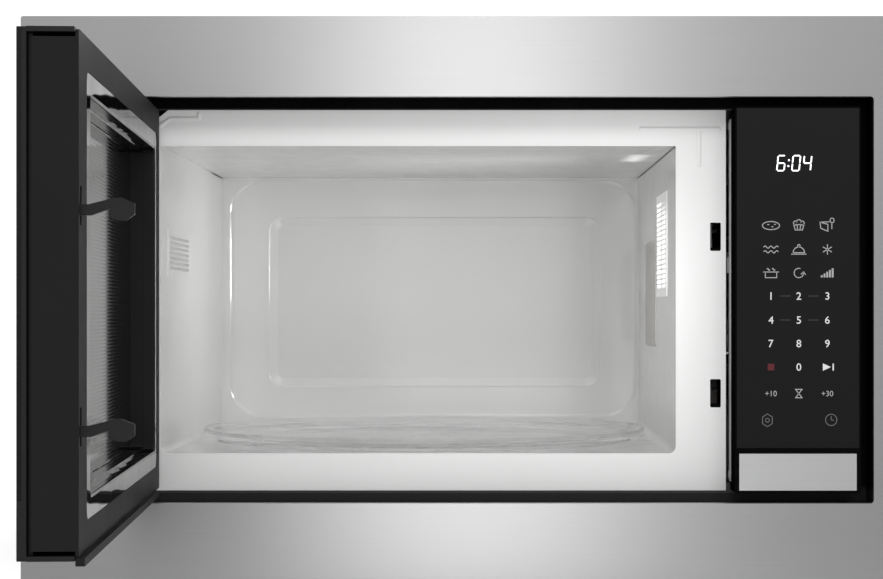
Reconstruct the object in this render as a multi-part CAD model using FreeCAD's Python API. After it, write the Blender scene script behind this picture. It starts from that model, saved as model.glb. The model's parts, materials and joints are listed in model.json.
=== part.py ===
"""Built-in microwave in a stainless trim kit, with its side-hinged door stored open.

Millimetres. X to the right, Y into the cabinet, Z up. The origin is the centre of the trim opening on the
plane of the cabinet face, which is also the centre of the four cabinet screws.
Door pieces are modelled shut and then swung to the stored opening angle about the hinge pins.
"""

import FreeCAD, Part
import math
import os

from FreeCAD import Vector

# Trim frame, liner and brackets
TRIM_STILE_W = 67.8
TRIM_RAIL_H = 65.0
TRIM_DEPTH = 20.0
TRIM_SHEET = 1.0
TRIM_CORNER_R = 2.0
OPEN_SIDE_GAP = 9.7
OPEN_END_GAP = 7.8
TRIM_OPEN_R = 3.0
TRIM_RETURN = 8.0
LINER_CLEAR = 2.3
LINER_WALL = 2.0
LINER_FLANGE = 12.0
LINER_RIM_CLEAR = 0.3
LINER_LIP = 3.5
BRACKET_SHEET = 2.0
BRACKET_END_IN = 30.0
BRACKET_EDGE_IN = 7.5
BRACKET_REACH = 30.0
BRACKET_BACK = 6.0
BRACKET_TAB_L = 30.0
BRACKET_TAB_END = 17.2
CABINET_SCREW_IN = 34.5
CABINET_SCREW_END = 50.0
CABINET_HOLE_R = 2.5
CLIP_R = 5.0
CLIP_GRIP_R = 8.0
CLIP_GRIP_T = 3.0
CLIP_IN = 21.5
CLIP_END = 100.0
SCREW_R = 1.9
SCREW_HEAD_R = 3.8
SCREW_HEAD_T = 2.2
SCREW_CLEAR = 0.05
BRACKET_SCREW_END = 47.2

# Microwave face: door on the left, control panel on the right
FACE_W = 604.0
FACE_H = 314.4
FACE_SETBACK = 4.0
PANEL_W = 102.3
PANEL_GAP = 1.0
DOOR_T = 36.0
DOOR_GAP = 8.0
FACE_EDGE_R = 1.5
GLASS_T = 3.0
GLASS_FOOT = 37.0
STRIP_T = 1.2
STRIP_SIDE = 3.5
STRIP_FOOT = 2.4
STRIP_H = 29.9

# Door
OPEN_DEG = 86.6
HINGE_INSET = 9.0
HINGE_Y_IN = 14.0
PIN_R = 2.5
PIN_CLEAR = 0.05
PIN_L = 12.0
HINGE_GAP = 0.5
HINGE_SHEET = 1.5
HINGE_LEAF_W = 18.0
HINGE_LEAF_NOSE = 6.0
HINGE_TAB_H = 22.0
SKIN_T = 5.7
GROOVE_T = 2.6
GROOVE_IN = 9.0
GROOVE_RING = 8.0
RIM_T = 3.0
RIM_GROOVE = 2.8
RIM_BACK = 2.4
DOOR_FOOT_RISE = 1.6
BODY_INSET = 1.0
BEZEL_WALL = 1.8
BEZEL_FACE_T = 2.0
BEZEL_FLANGE_T = 2.0
BEZEL_FLANGE_END = 1.2
BEZEL_CORNER_R = 3.0
BEZEL_LIP_H = 5.0
BEZEL_LIP_DROP = 3.0
BEZEL_LIP_OUT = 3.5
PANEL_RIM_FREE = 37.7
PANEL_RIM_Z = 21.5
PANEL_RIM_HINGE = 18.0
PANEL_CORNER_R = 8.0
INNER_PANEL_T = 2.5
INNER_PANEL_SINK = 0.4
INNER_STEP_FREE = 21.0
INNER_STEP_Z = 13.7
INNER_DEPTH = 20.0
INNER_WALL = 2.0
INNER_LEDGE = 2.0
INNER_LEDGE_DEPTH = 10.0
INNER_R = 5.0
INNER_EDGE_R = 1.6
WINDOW_FREE = 75.0
WINDOW_HINGE = 71.0
WINDOW_END = 54.2
WINDOW_R = 6.0
FRAME_SHEET = 1.0
FRAME_LIP = 20.0
LATCH_BAY = 17.0
SCREEN_T = 0.6
SCREEN_LAP = 6.0

# Door latch: one sliding plate with two hooks
HOOK_INSET = 9.9
HOOK_DOWN = 104.3
HOOK_UP = 79.7
HOOK_T = 4.0
HOOK_REACH = 31.0
HOOK_HEAD_H = 14.0
HOOK_OUTLINE_SHARES = (
    (-0.33, -0.42), (0.2, -0.42), (0.55, -0.14), (0.55, -0.5), (0.66, -0.6), (0.86, -0.63), (1.02, -0.37),
    (1.02, 0.1), (0.76, 0.34), (0.58, 0.31), (0.46, 0.22), (0.15, 0.05), (-0.33, 0.05),
)
LATCH_BAR_D = 10.0
LATCH_BAR_BACK = 2.0
LATCH_BAR_OVER = 18.0
LATCH_SLOT_W = 7.0
LATCH_SLOT_H = 23.0
LATCH_DROP = 3.5
GUIDE_H = 50.0
GUIDE_WALL = 2.5
GUIDE_CLEAR = 0.25
SPRING_R = 3.2
SPRING_BORE_R = 2.2
SPRING_L = 26.0
SPRING_POST_H = 4.0

# Casing, base, rear panel and feet
CASE_INSET = 2.0
CASE_RISE = 2.2
CASE_D = 432.0
CASE_SHEET = 1.0
CASE_EDGE_R = 4.0
BASE_DROP = 6.8
BASE_LIP = 12.0
REAR_FLANGE = 12.0
FOOT_H = 8.0
FOOT_TOP_R = 14.0
FOOT_R = 11.0
FOOT_IN_X = 46.0
FOOT_IN_Y = 42.0
VENT_SLOT_W = 4.0
VENT_SLOT_H = 34.0
VENT_PITCH = 9.0
VENT_COLUMNS = 11
VENT_ROWS = 3
VENT_ROW_PITCH = 40.0
CASE_VENT_IN = 60.0
CASE_VENT_TOP = 40.0
CASE_SCREW_IN = 90.0
CASE_SCREW_UP = 7.0
TOP_SCREW_DX = 400.0
TOP_SCREW_IN = 7.0

# Front plate and cavity
PLATE_SHEET = 1.0
PLATE_GAP = 2.3
PLATE_FLANGE = 12.0
CAV_LEFT = 26.5
CAV_SILL = 29.7
CAV_HEAD = 28.7
CAV_RIGHT = 44.0
CAV_BACK = 17.0
CAV_SHEET = 0.8
CAV_R = 6.0
SLOT_W = 8.9
SLOT_H = 23.6
SLOT_R = 1.2
BEAD_R = 3.0
BEAD_SINK = 2.2
BEAD_LEFT_IN = 26.0
BEAD_LEFT_TOP = 7.3
BEAD_LEFT_L = 32.5
BEAD_LEFT_HOOK = 4.2
BEAD_LEFT_SLANT = 8.0
BEAD_LEFT_DROP = 6.0
BEAD_RIGHT_L = 64.6
BEAD_RIGHT_DROP = 30.0
BEAD_RIGHT_TOP = 14.1
BEAD_RIGHT_IN = 6.0
BEAD_RIGHT_STEM = 22.4
NOTCH_IN = 33.0
NOTCH_SLANT = 7.0
NOTCH_DROP = 5.4
BACK_LIP_W = 1.3
BACK_LIP_T = 0.8
BACK_PAD_LEFT = 8.2
BACK_PAD_RIGHT = 0.4
BACK_PAD_FOOT = 8.7
BACK_PAD_TOP = 1.4
BACK_PAD_R = 34.0
BACK_PAD_SLOPE_W = 2.4
BACK_PAD_SLOPE_T = 0.4
BACK_FIELD_LEFT = 48.1
BACK_FIELD_RIGHT = 38.7
BACK_FIELD_END = 40.0
BACK_FIELD_R = 15.0
BACK_FIELD_SLOPE_W = 8.2
BACK_FIELD_SLOPE_T = 1.2
SEAM_GAP = 0.8
SEAM_LEFT_L = 80.0
MICA_IN = 195.0
MICA_L = 117.0
MICA_UP = 85.5
MICA_H = 99.0
MICA_T = 0.6
MICA_LAP = 9.0
MICA_R = 6.0
LAMP_IN = 81.0
LAMP_L = 103.0
LAMP_DOWN = 32.5
LAMP_H = 92.0
VENT_IN = 40.0
VENT_L = 133.0
VENT_DOWN = 67.0
VENT_H = 41.0
PERF_T = 0.6
PERF_LAP = 5.0
PERF_R = 1.9
PERF_PITCH = 5.0

# Turntable
RECESS_IN = 13.0
RECESS_D = 14.0
DRIVE_HOLE_R = 9.0
TRAY_WALL_GAP = 2.5
TRAY_T = 4.0
TRAY_BORDER = 37.0
TRAY_FOOT_IN = 7.0
TRAY_LIFT = 12.0
TRAY_RIM_LOW = 5.1
TRAY_RIM_EDGE = 8.0
TRAY_RIM_TOP = 13.4
LUG_R = 17.0
LUG_SIZE_R = 4.0
LUG_H = 4.0
COUPLER_ARM_R = 22.0
COUPLER_ARM_W = 8.0
COUPLER_HUB_R = 9.0
COUPLER_FLOOR_GAP = 0.5
SHAFT_R = 4.0
SHAFT_L = 15.0
RUN_CLEAR = 0.05
ROLL_CLEAR = 0.25
ROLLER_TRACK_R = 105.0
ROLLER_W = 7.0
ROLLER_EDGE = 0.8
RING_W = 9.0
RING_H = 5.0
RING_GAP = 1.0
AXLE_R = 1.6
AXLE_END = 1.5
AXLE_CAP_R = 2.4
MOTOR_R = 24.5
MOTOR_H = 17.0
MOTOR_EAR_R = 5.0
MOTOR_EAR_DX = 60.0
MOTOR_EAR_T = 2.0

# Latch board, release and switches
BOARD_IN = 24.0
BOARD_OUT = 7.2
BOARD_D = 33.0
BOARD_OVER = 37.0
BOARD_UNDER = 35.0
POCKET_HALF = 5.2
POCKET_UP = 12.0
POCKET_DOWN = 18.5
KEEPER_D = 7.5
KEEPER_CLEAR = 0.4
SLIDER_W = 6.0
SLIDER_D = 7.5
SLIDER_BACK = 2.0
SLIDER_CLEAR = 0.3
FINGER_T = 4.0
PLUNGER_R = 2.6
PLUNGER_IN = 12.0
SOLENOID_W = 22.0
SOLENOID_H = 32.0
SOLENOID_BORE_END = 3.0
SOLENOID_COIL_IN = 4.0
SWITCH_X = 10.0
SWITCH_Y = 20.0
SWITCH_Z = 10.5
SWITCH_GAP = 3.0
SWITCH_TIP = 1.5

# Control panel
HOUSING_WALL = 2.0
HOUSING_STEP_Y = 27.0
PANEL_GLASS_IN = 1.5
BRACKET_SIDE_T = 1.0
BRACKET_SIDE_IN = 0.4
BRACKET_SIDE_END = 7.2
BRACKET_WEB_L = 16.0
BRACKET_WEB_H = 6.0
BRACKET_WEB_END = 2.0
SENSOR_T = 0.6
DISPLAY_W = 50.0
DISPLAY_H = 26.0
DISPLAY_DROP = 45.6
DISPLAY_FIT = 0.2
PCB_T = 1.6
PCB_EDGE = 5.0
PCB_BOTTOM = 44.0
PCB_STAND = 18.0
PCB_BOSS_R = 3.0
PCB_BOSS_IN = 8.0
PCB_PART_H = 12.0
PCB_PART_W = 18.0

# Microwave power parts and cooling
WG_D = 36.0
WG_SHEET = 1.0
WG_MARGIN = 6.0
MAG_FLANGE_Y = 92.0
MAG_FLANGE_Z = 78.0
MAG_FLANGE_T = 1.6
MAG_YOKE_D = 56.0
MAG_YOKE_T = 1.6
MAG_ANODE_R = 20.0
MAG_FIN_T = 1.0
MAG_FINS = 5
MAG_FILTER_D = 26.0
MAG_FILTER_W = 52.0
MAG_ANTENNA_R = 9.0
MAG_ANTENNA_L = 28.0
TRANSFORMER_X = 100.0
TRANSFORMER_Y = 62.0
TRANSFORMER_H = 84.0
TRANSFORMER_IN_X = 24.0
TRANSFORMER_IN_Y = 76.0
WINDING_OUT = 16.0
WINDING_H = 46.0
WINDING_R = 10.0
TRANSFORMER_FOOT_T = 3.0
TRANSFORMER_FOOT_OUT = 12.0
CAP_X = 52.0
CAP_Y = 92.0
CAP_H = 34.0
CAP_IN_X = 8.0
CAP_IN_Y = 190.0
CAP_R = 15.0
CAP_TAG = 8.0
CAP_TAG_T = 1.2
DIODE_R = 4.0
DIODE_L = 22.0
DIODE_LUG = 12.0
DIODE_LUG_T = 1.2
DIODE_GAP = 16.0
FAN_RIM = 11.0
FAN_TIP_GAP = 3.0
FAN_HUB_R = 12.0
FAN_HUB_L = 18.0
FAN_BLADES = 7
FAN_BLADE_T = 1.6
FAN_BLADE_CHORD = 24.0
FAN_BLADE_DEG = 35.0
FAN_SHAFT_R = 2.5
FAN_SHAFT_L = 24.0
SHROUD_SIDE = 7.75
SHROUD_T = 3.0
SHROUD_WALL = 2.0
SHROUD_D = 34.0
SHROUD_ARM_W = 8.0
SHROUD_HUB_R = 14.0
FAN_FACE_GAP = 5.0
FAN_MOTOR_W = 54.0
FAN_MOTOR_H = 44.0
FAN_MOTOR_D = 22.0
FAN_COIL_R = 10.5
LAMP_BOX_D = 38.0
LAMP_BOX_OUT = 4.0
LAMP_SOCKET_R = 11.0
LAMP_SOCKET_L = 16.0
LAMP_SOCKET_T = 2.0
LAMP_BULB_R = 10.0
LAMP_BULB_SHARES = ((0.25, 0.88), (0.6, 1.0), (1.0, 0.96), (1.35, 0.7), (1.5, 0.35), (1.55, 0.0))
LAMP_NECK_R = 6.5
LAMP_NECK_L = 7.0
FILTER_W = 70.0
FILTER_H = 46.0
FILTER_UP = 98.0
FILTER_STAND = 10.0
FILTER_POST_R = 3.0
FILTER_COIL_R = 11.0
FILTER_COIL_L = 14.0
GLAND_X_IN = 70.0
GLAND_UP = 40.0
GLAND_R = 8.0
GLAND_FLANGE_R = 11.0
GLAND_FLANGE_T = 3.0
GLAND_BORE_R = 4.5

# One overrun serves every cut
OVER = 1.0

# Planes worked out from the sizes above
Y_TRIM = -TRIM_DEPTH
Y_FACE = Y_TRIM + FACE_SETBACK
Y_INNER = Y_FACE + DOOR_T
Y_PLATE = Y_INNER + DOOR_GAP
Y_SHELL = Y_PLATE + PLATE_SHEET
Y_BRACKET = Y_PLATE + BRACKET_BACK
Y_REAR = Y_PLATE + CASE_D
X_FACE = FACE_W / 2
Z_FACE = FACE_H / 2
X_OPEN = X_FACE + OPEN_SIDE_GAP
Z_OPEN = Z_FACE + OPEN_END_GAP
X_TRIM = X_OPEN + TRIM_STILE_W
Z_TRIM = Z_OPEN + TRIM_RAIL_H
X_CASE = X_FACE - CASE_INSET
Z_CASE = Z_FACE + CASE_RISE
Z_BASE = -Z_FACE - BASE_DROP
Z_SHELF = Z_BASE - FOOT_H
X_PANEL = X_FACE - PANEL_W
X_DOOR_FREE = X_PANEL - PANEL_GAP
X_DOOR_HINGE = -X_FACE
X_PLATE = X_PANEL - PLATE_GAP
Z_PLATE = Z_CASE - CASE_SHEET
CAV_X0 = -X_CASE + CAV_LEFT
CAV_X1 = X_PANEL - CAV_RIGHT
CAV_Z0 = -Z_FACE + CAV_SILL
CAV_Z1 = Z_FACE - CAV_HEAD
CAV_Y1 = Y_REAR - CAV_BACK
Z_GLASS = -Z_FACE + GLASS_FOOT
PIN_X = X_DOOR_HINGE + HINGE_INSET
PIN_Y = Y_FACE + HINGE_Y_IN
Y_GROOVE = Y_FACE + SKIN_T
Y_BODY = Y_GROOVE + GROOVE_T
X_BODY_HINGE = X_DOOR_HINGE + BODY_INSET
X_BODY_FREE = X_DOOR_FREE - BODY_INSET
Z_DOOR = -Z_FACE + DOOR_FOOT_RISE
Z_BODY0 = Z_DOOR + RIM_T + RIM_GROOVE
Z_BODY1 = Z_FACE - RIM_T - RIM_GROOVE
X_HOOK = X_DOOR_FREE - HOOK_INSET
HOOK_UP_Z = Z_FACE - HOOK_DOWN
HOOK_LOW_Z = -Z_FACE + HOOK_UP
HOOK_ZS = (HOOK_UP_Z, HOOK_LOW_Z)
TRAY_X = (CAV_X0 + CAV_X1) / 2
TRAY_Y = (Y_SHELL + CAV_Y1) / 2
TRAY_R = min(CAV_X1 - CAV_X0, CAV_Y1 - Y_SHELL) / 2 - TRAY_WALL_GAP
TRAY_FLAT_R = TRAY_R - TRAY_BORDER
TRAY_FOOT_R = TRAY_R - TRAY_FOOT_IN
RECESS_R = TRAY_R - RECESS_IN
Z_RECESS = CAV_Z0 - RECESS_D
Z_TRAY = Z_RECESS + TRAY_LIFT
MICA_Y0 = Y_PLATE + MICA_IN
MICA_Z0 = CAV_Z0 + MICA_UP
LAMP_Y0 = Y_PLATE + LAMP_IN
LAMP_Z0 = CAV_Z1 - LAMP_DOWN - LAMP_H
VENT_Y0 = Y_PLATE + VENT_IN
VENT_Z0 = CAV_Z1 - VENT_DOWN - VENT_H
X_WALL = CAV_X1 + CAV_SHEET
FLOOR_TOP = Z_BASE + CASE_SHEET
FAN_X = (X_WALL + X_CASE) / 2
SHROUD_PLATE = X_CASE - X_WALL - SHROUD_SIDE - SHROUD_SIDE
FAN_R = SHROUD_PLATE / 2 - FAN_RIM


# Shape helpers

def box(x0, x1, y0, y1, z0, z1):
    """A block between two corners."""
    return Part.makeBox(x1 - x0, y1 - y0, z1 - z0, Vector(x0, y0, z0))


def rod(x, y, z, radius, length, axis):
    """A cylinder from a point along an axis vector."""
    return Part.makeCylinder(radius, length, Vector(x, y, z), axis)


def edges_along(shape, axis):
    """The straight edges of a shape that run along an axis vector."""
    found = []
    for edge in shape.Edges:
        if edge.Curve.TypeId == "Part::GeomLine":
            if abs(edge.Curve.Direction.dot(axis)) > 1 - 1e-6:
                found.append(edge)
    return found


def rounded(shape, radius, axis):
    """A block with its edges along one axis rounded."""
    return shape.makeFillet(radius, edges_along(shape, axis))


def join(shapes):
    """One solid from pieces that touch or overlap."""
    return shapes[0].multiFuse(shapes[1:]).removeSplitter()


def prism(points, sweep):
    """A closed outline of points carried along a vector."""
    return Part.Face(Part.makePolygon(points + points[:1])).extrude(sweep)


def swing(shape):
    """A door piece turned from shut to its stored opening angle."""
    turned = shape.copy()
    turned.rotate(Vector(PIN_X, PIN_Y, 0), Vector(0, 0, 1), -OPEN_DEG)
    return turned


X_AXIS = Vector(1, 0, 0)
Y_AXIS = Vector(0, 1, 0)
Z_AXIS = Vector(0, 0, 1)


def screw(x, y, z, axis, depth):
    """A pan-head screw: the head stands out along the axis and the shank goes the other way."""
    head = rod(x, y, z, SCREW_HEAD_R, SCREW_HEAD_T, axis)
    shank = rod(x, y, z, SCREW_R, depth, -axis)
    return join([head, shank])


def screw_hole(x, y, z, axis, depth):
    """The clearance hole for a screw's shank."""
    start = Vector(x, y, z) + axis * OVER
    return Part.makeCylinder(SCREW_R + SCREW_CLEAR, depth + OVER + OVER, start, -axis)


# Trim kit

def trim_frame():
    """Pressed stainless pan with turned-back outer edges and a returned edge round its opening."""
    outer = rounded(box(-X_TRIM, X_TRIM, Y_TRIM, 0, -Z_TRIM, Z_TRIM), TRIM_CORNER_R, Y_AXIS)
    x_in = X_TRIM - TRIM_SHEET
    z_in = Z_TRIM - TRIM_SHEET
    hollow = box(-x_in, x_in, Y_TRIM + TRIM_SHEET, OVER, -z_in, z_in)
    collar = rounded(
        box(-X_OPEN - TRIM_SHEET, X_OPEN + TRIM_SHEET, Y_TRIM, Y_TRIM + TRIM_RETURN,
            -Z_OPEN - TRIM_SHEET, Z_OPEN + TRIM_SHEET), TRIM_OPEN_R + TRIM_SHEET, Y_AXIS)
    opening = rounded(
        box(-X_OPEN, X_OPEN, Y_TRIM - OVER, OVER, -Z_OPEN, Z_OPEN), TRIM_OPEN_R, Y_AXIS)
    return join([outer.cut(hollow), collar]).cut(opening)


def trim_liner():
    """Black moulded tunnel behind the trim opening: front flange, rear rim round the casing and foot lip."""
    y0 = Y_TRIM + TRIM_SHEET
    y1 = Y_PLATE + LINER_WALL
    x_in = X_OPEN + LINER_CLEAR
    z_in = Z_OPEN + LINER_CLEAR
    x_out = x_in + LINER_WALL
    z_out = z_in + LINER_WALL
    tube = box(-x_out, x_out, y0, y1, -z_out, z_out)
    flange = box(-x_out - LINER_FLANGE, x_out + LINER_FLANGE, y0, y0 + LINER_WALL,
                 -z_out - LINER_FLANGE, z_out + LINER_FLANGE)
    bore = box(-x_in, x_in, y0 - OVER, Y_PLATE, -z_in, z_in)
    x_rim = X_CASE + LINER_RIM_CLEAR
    mouth = box(-x_rim, x_rim, y0, y1 + OVER, Z_BASE - LINER_RIM_CLEAR, Z_CASE + LINER_RIM_CLEAR)
    lip = box(-x_in, x_in, Y_PLATE - LINER_WALL, Y_PLATE, -z_in, Z_BASE + LINER_LIP)
    return join([join([tube, flange]).cut(bore).cut(mouth), lip])


def bracket_screw_places(side):
    """Where the bracket of one side is screwed to the casing."""
    y = Y_BRACKET + BRACKET_TAB_L / 2
    return [(side * (X_CASE + BRACKET_SHEET), y, sign * (Z_FACE - BRACKET_SCREW_END)) for sign in (-1, 1)]


def trim_bracket(side):
    """Bent bracket: cabinet flange, leg into the cut-out, and a tab on the side of the casing."""
    t = BRACKET_SHEET
    x1 = X_CASE + BRACKET_REACH
    half = Z_TRIM - BRACKET_END_IN
    tab_half = Z_FACE - BRACKET_TAB_END
    face = box(x1 - t, X_TRIM - BRACKET_EDGE_IN, -t, 0, -half, half)
    leg = box(x1 - t, x1, -t, Y_BRACKET, -half, half)
    floor = box(X_CASE, x1, Y_BRACKET - t, Y_BRACKET, -tab_half, tab_half)
    tab = box(X_CASE, X_CASE + t, Y_BRACKET - t, Y_BRACKET + BRACKET_TAB_L, -tab_half, tab_half)
    shape = join([face, leg, floor, tab])
    for sign in (-1, 1):
        shape = shape.cut(rod(X_TRIM - CABINET_SCREW_IN, -t - OVER, sign * (Z_TRIM - CABINET_SCREW_END),
                              CABINET_HOLE_R, t + OVER + OVER, Y_AXIS))
    if side < 0:
        shape = shape.mirror(Vector(0, 0, 0), X_AXIS)
    for x, y, z in bracket_screw_places(side):
        shape = shape.cut(screw_hole(x, y, z, X_AXIS * side, t))
    return shape


def trim_clips():
    """Posts with a rubber grip that hold the trim frame on the brackets."""
    y0 = Y_TRIM + TRIM_SHEET
    y1 = -BRACKET_SHEET
    posts = []
    for side in (-1, 1):
        for row in (-1, 0, 1):
            x = side * (X_TRIM - CLIP_IN)
            z = row * (Z_TRIM - CLIP_END)
            post = rod(x, y0, z, CLIP_R, y1 - y0, Y_AXIS)
            grip = rod(x, y1 - CLIP_GRIP_T, z, CLIP_GRIP_R, CLIP_GRIP_T, Y_AXIS)
            posts.append(join([post, grip]))
    return Part.makeCompound(posts)


def bracket_screws():
    """Screws from the brackets into the sides of the casing."""
    depth = BRACKET_SHEET + CASE_SHEET
    return Part.makeCompound([screw(x, y, z, X_AXIS * side, depth)
                              for side in (-1, 1) for x, y, z in bracket_screw_places(side)])


# Casing

def case_screw_places():
    """Side screws into the base lip and top screws into the rear flange, each with its outward axis."""
    places = []
    for side in (-1, 1):
        for y in (Y_SHELL + CASE_SCREW_IN, Y_REAR - CASE_SCREW_IN):
            places.append((side * X_CASE, y, Z_BASE + CASE_SCREW_UP, X_AXIS * side))
        places.append((side * TOP_SCREW_DX / 2, Y_REAR - TOP_SCREW_IN, Z_CASE, Z_AXIS))
    return places


def vent_grid(columns, rows, x, z):
    """Centres of a block of upright slots about a point."""
    return [(x + (c - (columns - 1) / 2) * VENT_PITCH, z + (r - (rows - 1) / 2) * VENT_ROW_PITCH)
            for c in range(columns) for r in range(rows)]


def outer_casing():
    """Painted steel wrapper: top and both sides, with vent slots in the left side."""
    outer = box(-X_CASE, X_CASE, Y_SHELL, Y_REAR, Z_BASE, Z_CASE)
    top_edges = [e for e in edges_along(outer, Y_AXIS) if e.CenterOfMass.z > 0]
    outer = outer.makeFillet(CASE_EDGE_R, top_edges)
    x_in = X_CASE - CASE_SHEET
    inner = box(-x_in, x_in, Y_SHELL - OVER, Y_REAR + OVER, Z_BASE - OVER, Z_CASE - CASE_SHEET)
    top_edges = [e for e in edges_along(inner, Y_AXIS) if e.CenterOfMass.z > 0]
    inner = inner.makeFillet(CASE_EDGE_R - CASE_SHEET, top_edges)
    shape = outer.cut(inner)
    z = Z_CASE - CASE_VENT_TOP
    for y, slot_z in vent_grid(VENT_COLUMNS, 1, Y_REAR - CASE_VENT_IN - VENT_COLUMNS * VENT_PITCH, z):
        shape = shape.cut(box(-X_CASE - OVER, -x_in + OVER, y - VENT_SLOT_W / 2, y + VENT_SLOT_W / 2,
                              slot_z - VENT_SLOT_H / 2, slot_z + VENT_SLOT_H / 2))
    for x, y, z, axis in case_screw_places():
        shape = shape.cut(screw_hole(x, y, z, axis, CASE_SHEET))
    for side in (-1, 1):
        for x, y, z in bracket_screw_places(side):
            shape = shape.cut(screw_hole(x, y, z, X_AXIS * side, BRACKET_SHEET + CASE_SHEET))
    return shape


def base_plate():
    """Base tray with turned-up edges."""
    x = X_CASE - CASE_SHEET
    y1 = Y_REAR - CASE_SHEET
    tray = box(-x, x, Y_SHELL, y1, Z_BASE, Z_BASE + BASE_LIP)
    hollow = box(-x + CASE_SHEET, x - CASE_SHEET, Y_SHELL + CASE_SHEET, y1 - CASE_SHEET,
                 FLOOR_TOP, Z_BASE + BASE_LIP + OVER)
    shape = tray.cut(hollow)
    for px, py, pz, axis in case_screw_places():
        shape = shape.cut(screw_hole(px, py, pz, axis, CASE_SHEET + CASE_SHEET))
    return shape


def fan_centre():
    """X and Z of the fan axis in the rear of the right-hand bay."""
    return FAN_X, (CAV_Z0 + CAV_Z1) / 2


def rear_panel():
    """Rear sheet with a forward top flange, the fan's intake slots and the cord hole."""
    x = X_CASE - CASE_SHEET
    z1 = Z_CASE - CASE_SHEET
    sheet = box(-x, x, Y_REAR - CASE_SHEET, Y_REAR, Z_BASE, z1)
    flange_x = x - CASE_EDGE_R
    flange = box(-flange_x, flange_x, Y_REAR - REAR_FLANGE, Y_REAR, z1 - CASE_SHEET, z1)
    corner_edges = [e for e in edges_along(sheet, Y_AXIS) if e.CenterOfMass.z > 0]
    shape = join([sheet.makeFillet(CASE_EDGE_R - CASE_SHEET, corner_edges), flange])
    fan_x, fan_z = fan_centre()
    for sx, sz in vent_grid(VENT_COLUMNS, VENT_ROWS, fan_x, fan_z):
        shape = shape.cut(box(sx - VENT_SLOT_W / 2, sx + VENT_SLOT_W / 2, Y_REAR - CASE_SHEET - OVER,
                              Y_REAR + OVER, sz - VENT_SLOT_H / 2, sz + VENT_SLOT_H / 2))
    shape = shape.cut(rod(X_CASE - GLAND_X_IN, Y_REAR - CASE_SHEET - OVER, Z_BASE + GLAND_UP,
                          GLAND_R, CASE_SHEET + OVER + OVER, Y_AXIS))
    for px, py, pz, axis in case_screw_places():
        shape = shape.cut(screw_hole(px, py, pz, axis, CASE_SHEET + CASE_SHEET))
    return shape


def casing_screws():
    """Screws that hold the casing to the base and the rear panel."""
    depth = CASE_SHEET + CASE_SHEET
    return Part.makeCompound([screw(x, y, z, axis, depth) for x, y, z, axis in case_screw_places()])


def feet():
    """Tapered rubber feet under the base."""
    shapes = []
    for x in (-X_CASE + FOOT_IN_X, X_CASE - FOOT_IN_X):
        for y in (Y_SHELL + FOOT_IN_Y, Y_REAR - FOOT_IN_Y):
            shapes.append(Part.makeCone(FOOT_R, FOOT_TOP_R, FOOT_H, Vector(x, y, Z_SHELF), Z_AXIS))
    return Part.makeCompound(shapes)


# Front plate and cavity

def cavity_prism(y0, y1, grow, top):
    """A block with the cavity's outline, grown by a sheet thickness, with rounded lower corners."""
    block = box(CAV_X0 - grow, CAV_X1 + grow, y0, y1, CAV_Z0 - grow, top)
    middle = (CAV_Z0 + CAV_Z1) / 2
    low_edges = [e for e in edges_along(block, Y_AXIS) if e.CenterOfMass.z < middle]
    return block.makeFillet(CAV_R + grow, low_edges)


def bead(points):
    """A low rounded bead pressed out of the plate along a run of points."""
    y = Y_PLATE + BEAD_SINK
    spots = [Vector(x, y, z) for x, z in points]
    pieces = [Part.makeSphere(BEAD_R, spot) for spot in spots]
    for a, b in zip(spots, spots[1:]):
        run = b - a
        pieces.append(Part.makeCylinder(BEAD_R, run.Length, a, run))
    front = box(-X_CASE, X_PLATE, Y_PLATE - BEAD_R, Y_SHELL, -Z_PLATE, Z_PLATE)
    return join(pieces).common(front)


def plate_notch():
    """The cut-away upper left corner of the plate, behind the hinge."""
    x0 = -X_CASE - OVER
    x1 = -X_CASE + NOTCH_IN
    z0 = Z_PLATE - NOTCH_DROP
    z1 = Z_PLATE + OVER
    outline = ((x1, z1), (x1, Z_PLATE), (x1 - NOTCH_SLANT, z0), (x0, z0), (x0, z1))
    y0 = Y_PLATE - OVER
    return prism([Vector(x, y0, z) for x, z in outline], Y_AXIS * (PLATE_SHEET + PLATE_FLANGE + OVER + OVER))


def front_plate():
    """White face plate with the cavity opening, latch slots, side and top flanges and pressed beads."""
    sheet = box(-X_CASE, X_PLATE, Y_PLATE, Y_SHELL, -Z_PLATE, Z_PLATE)
    x_in = X_CASE - CASE_SHEET
    side = box(-x_in, -x_in + PLATE_SHEET, Y_PLATE, Y_SHELL + PLATE_FLANGE,
               -Z_FACE + BASE_LIP, Z_PLATE - CASE_EDGE_R)
    top = box(-x_in + CASE_EDGE_R, X_PLATE, Y_PLATE, Y_SHELL + PLATE_FLANGE, Z_PLATE - PLATE_SHEET, Z_PLATE)
    left_x = -X_CASE + BEAD_LEFT_IN
    left_z = Z_PLATE - BEAD_LEFT_TOP
    right_z = CAV_Z1 + BEAD_RIGHT_TOP
    right_x = X_PLATE - BEAD_RIGHT_IN
    stem_x = X_PLATE - BEAD_RIGHT_STEM
    beads = [
        bead([(left_x, left_z - BEAD_LEFT_DROP), (left_x + BEAD_LEFT_SLANT, left_z),
              (left_x + BEAD_LEFT_L, left_z), (left_x + BEAD_LEFT_L, left_z + BEAD_LEFT_HOOK)]),
        bead([(right_x - BEAD_RIGHT_L, right_z), (right_x, right_z)]),
        bead([(stem_x, right_z), (stem_x, right_z - BEAD_RIGHT_DROP)]),
    ]
    shape = join([sheet, side, top] + beads).cut(plate_notch())
    shape = shape.cut(cavity_prism(Y_PLATE - OVER, Y_SHELL + OVER, 0, CAV_Z1))
    for z in HOOK_ZS:
        slot = box(X_HOOK - SLOT_W / 2, X_HOOK + SLOT_W / 2, Y_PLATE - OVER, Y_SHELL + OVER,
                   z - SLOT_H / 2, z + SLOT_H / 2)
        shape = shape.cut(rounded(slot, SLOT_R, Y_AXIS))
    return shape


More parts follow.
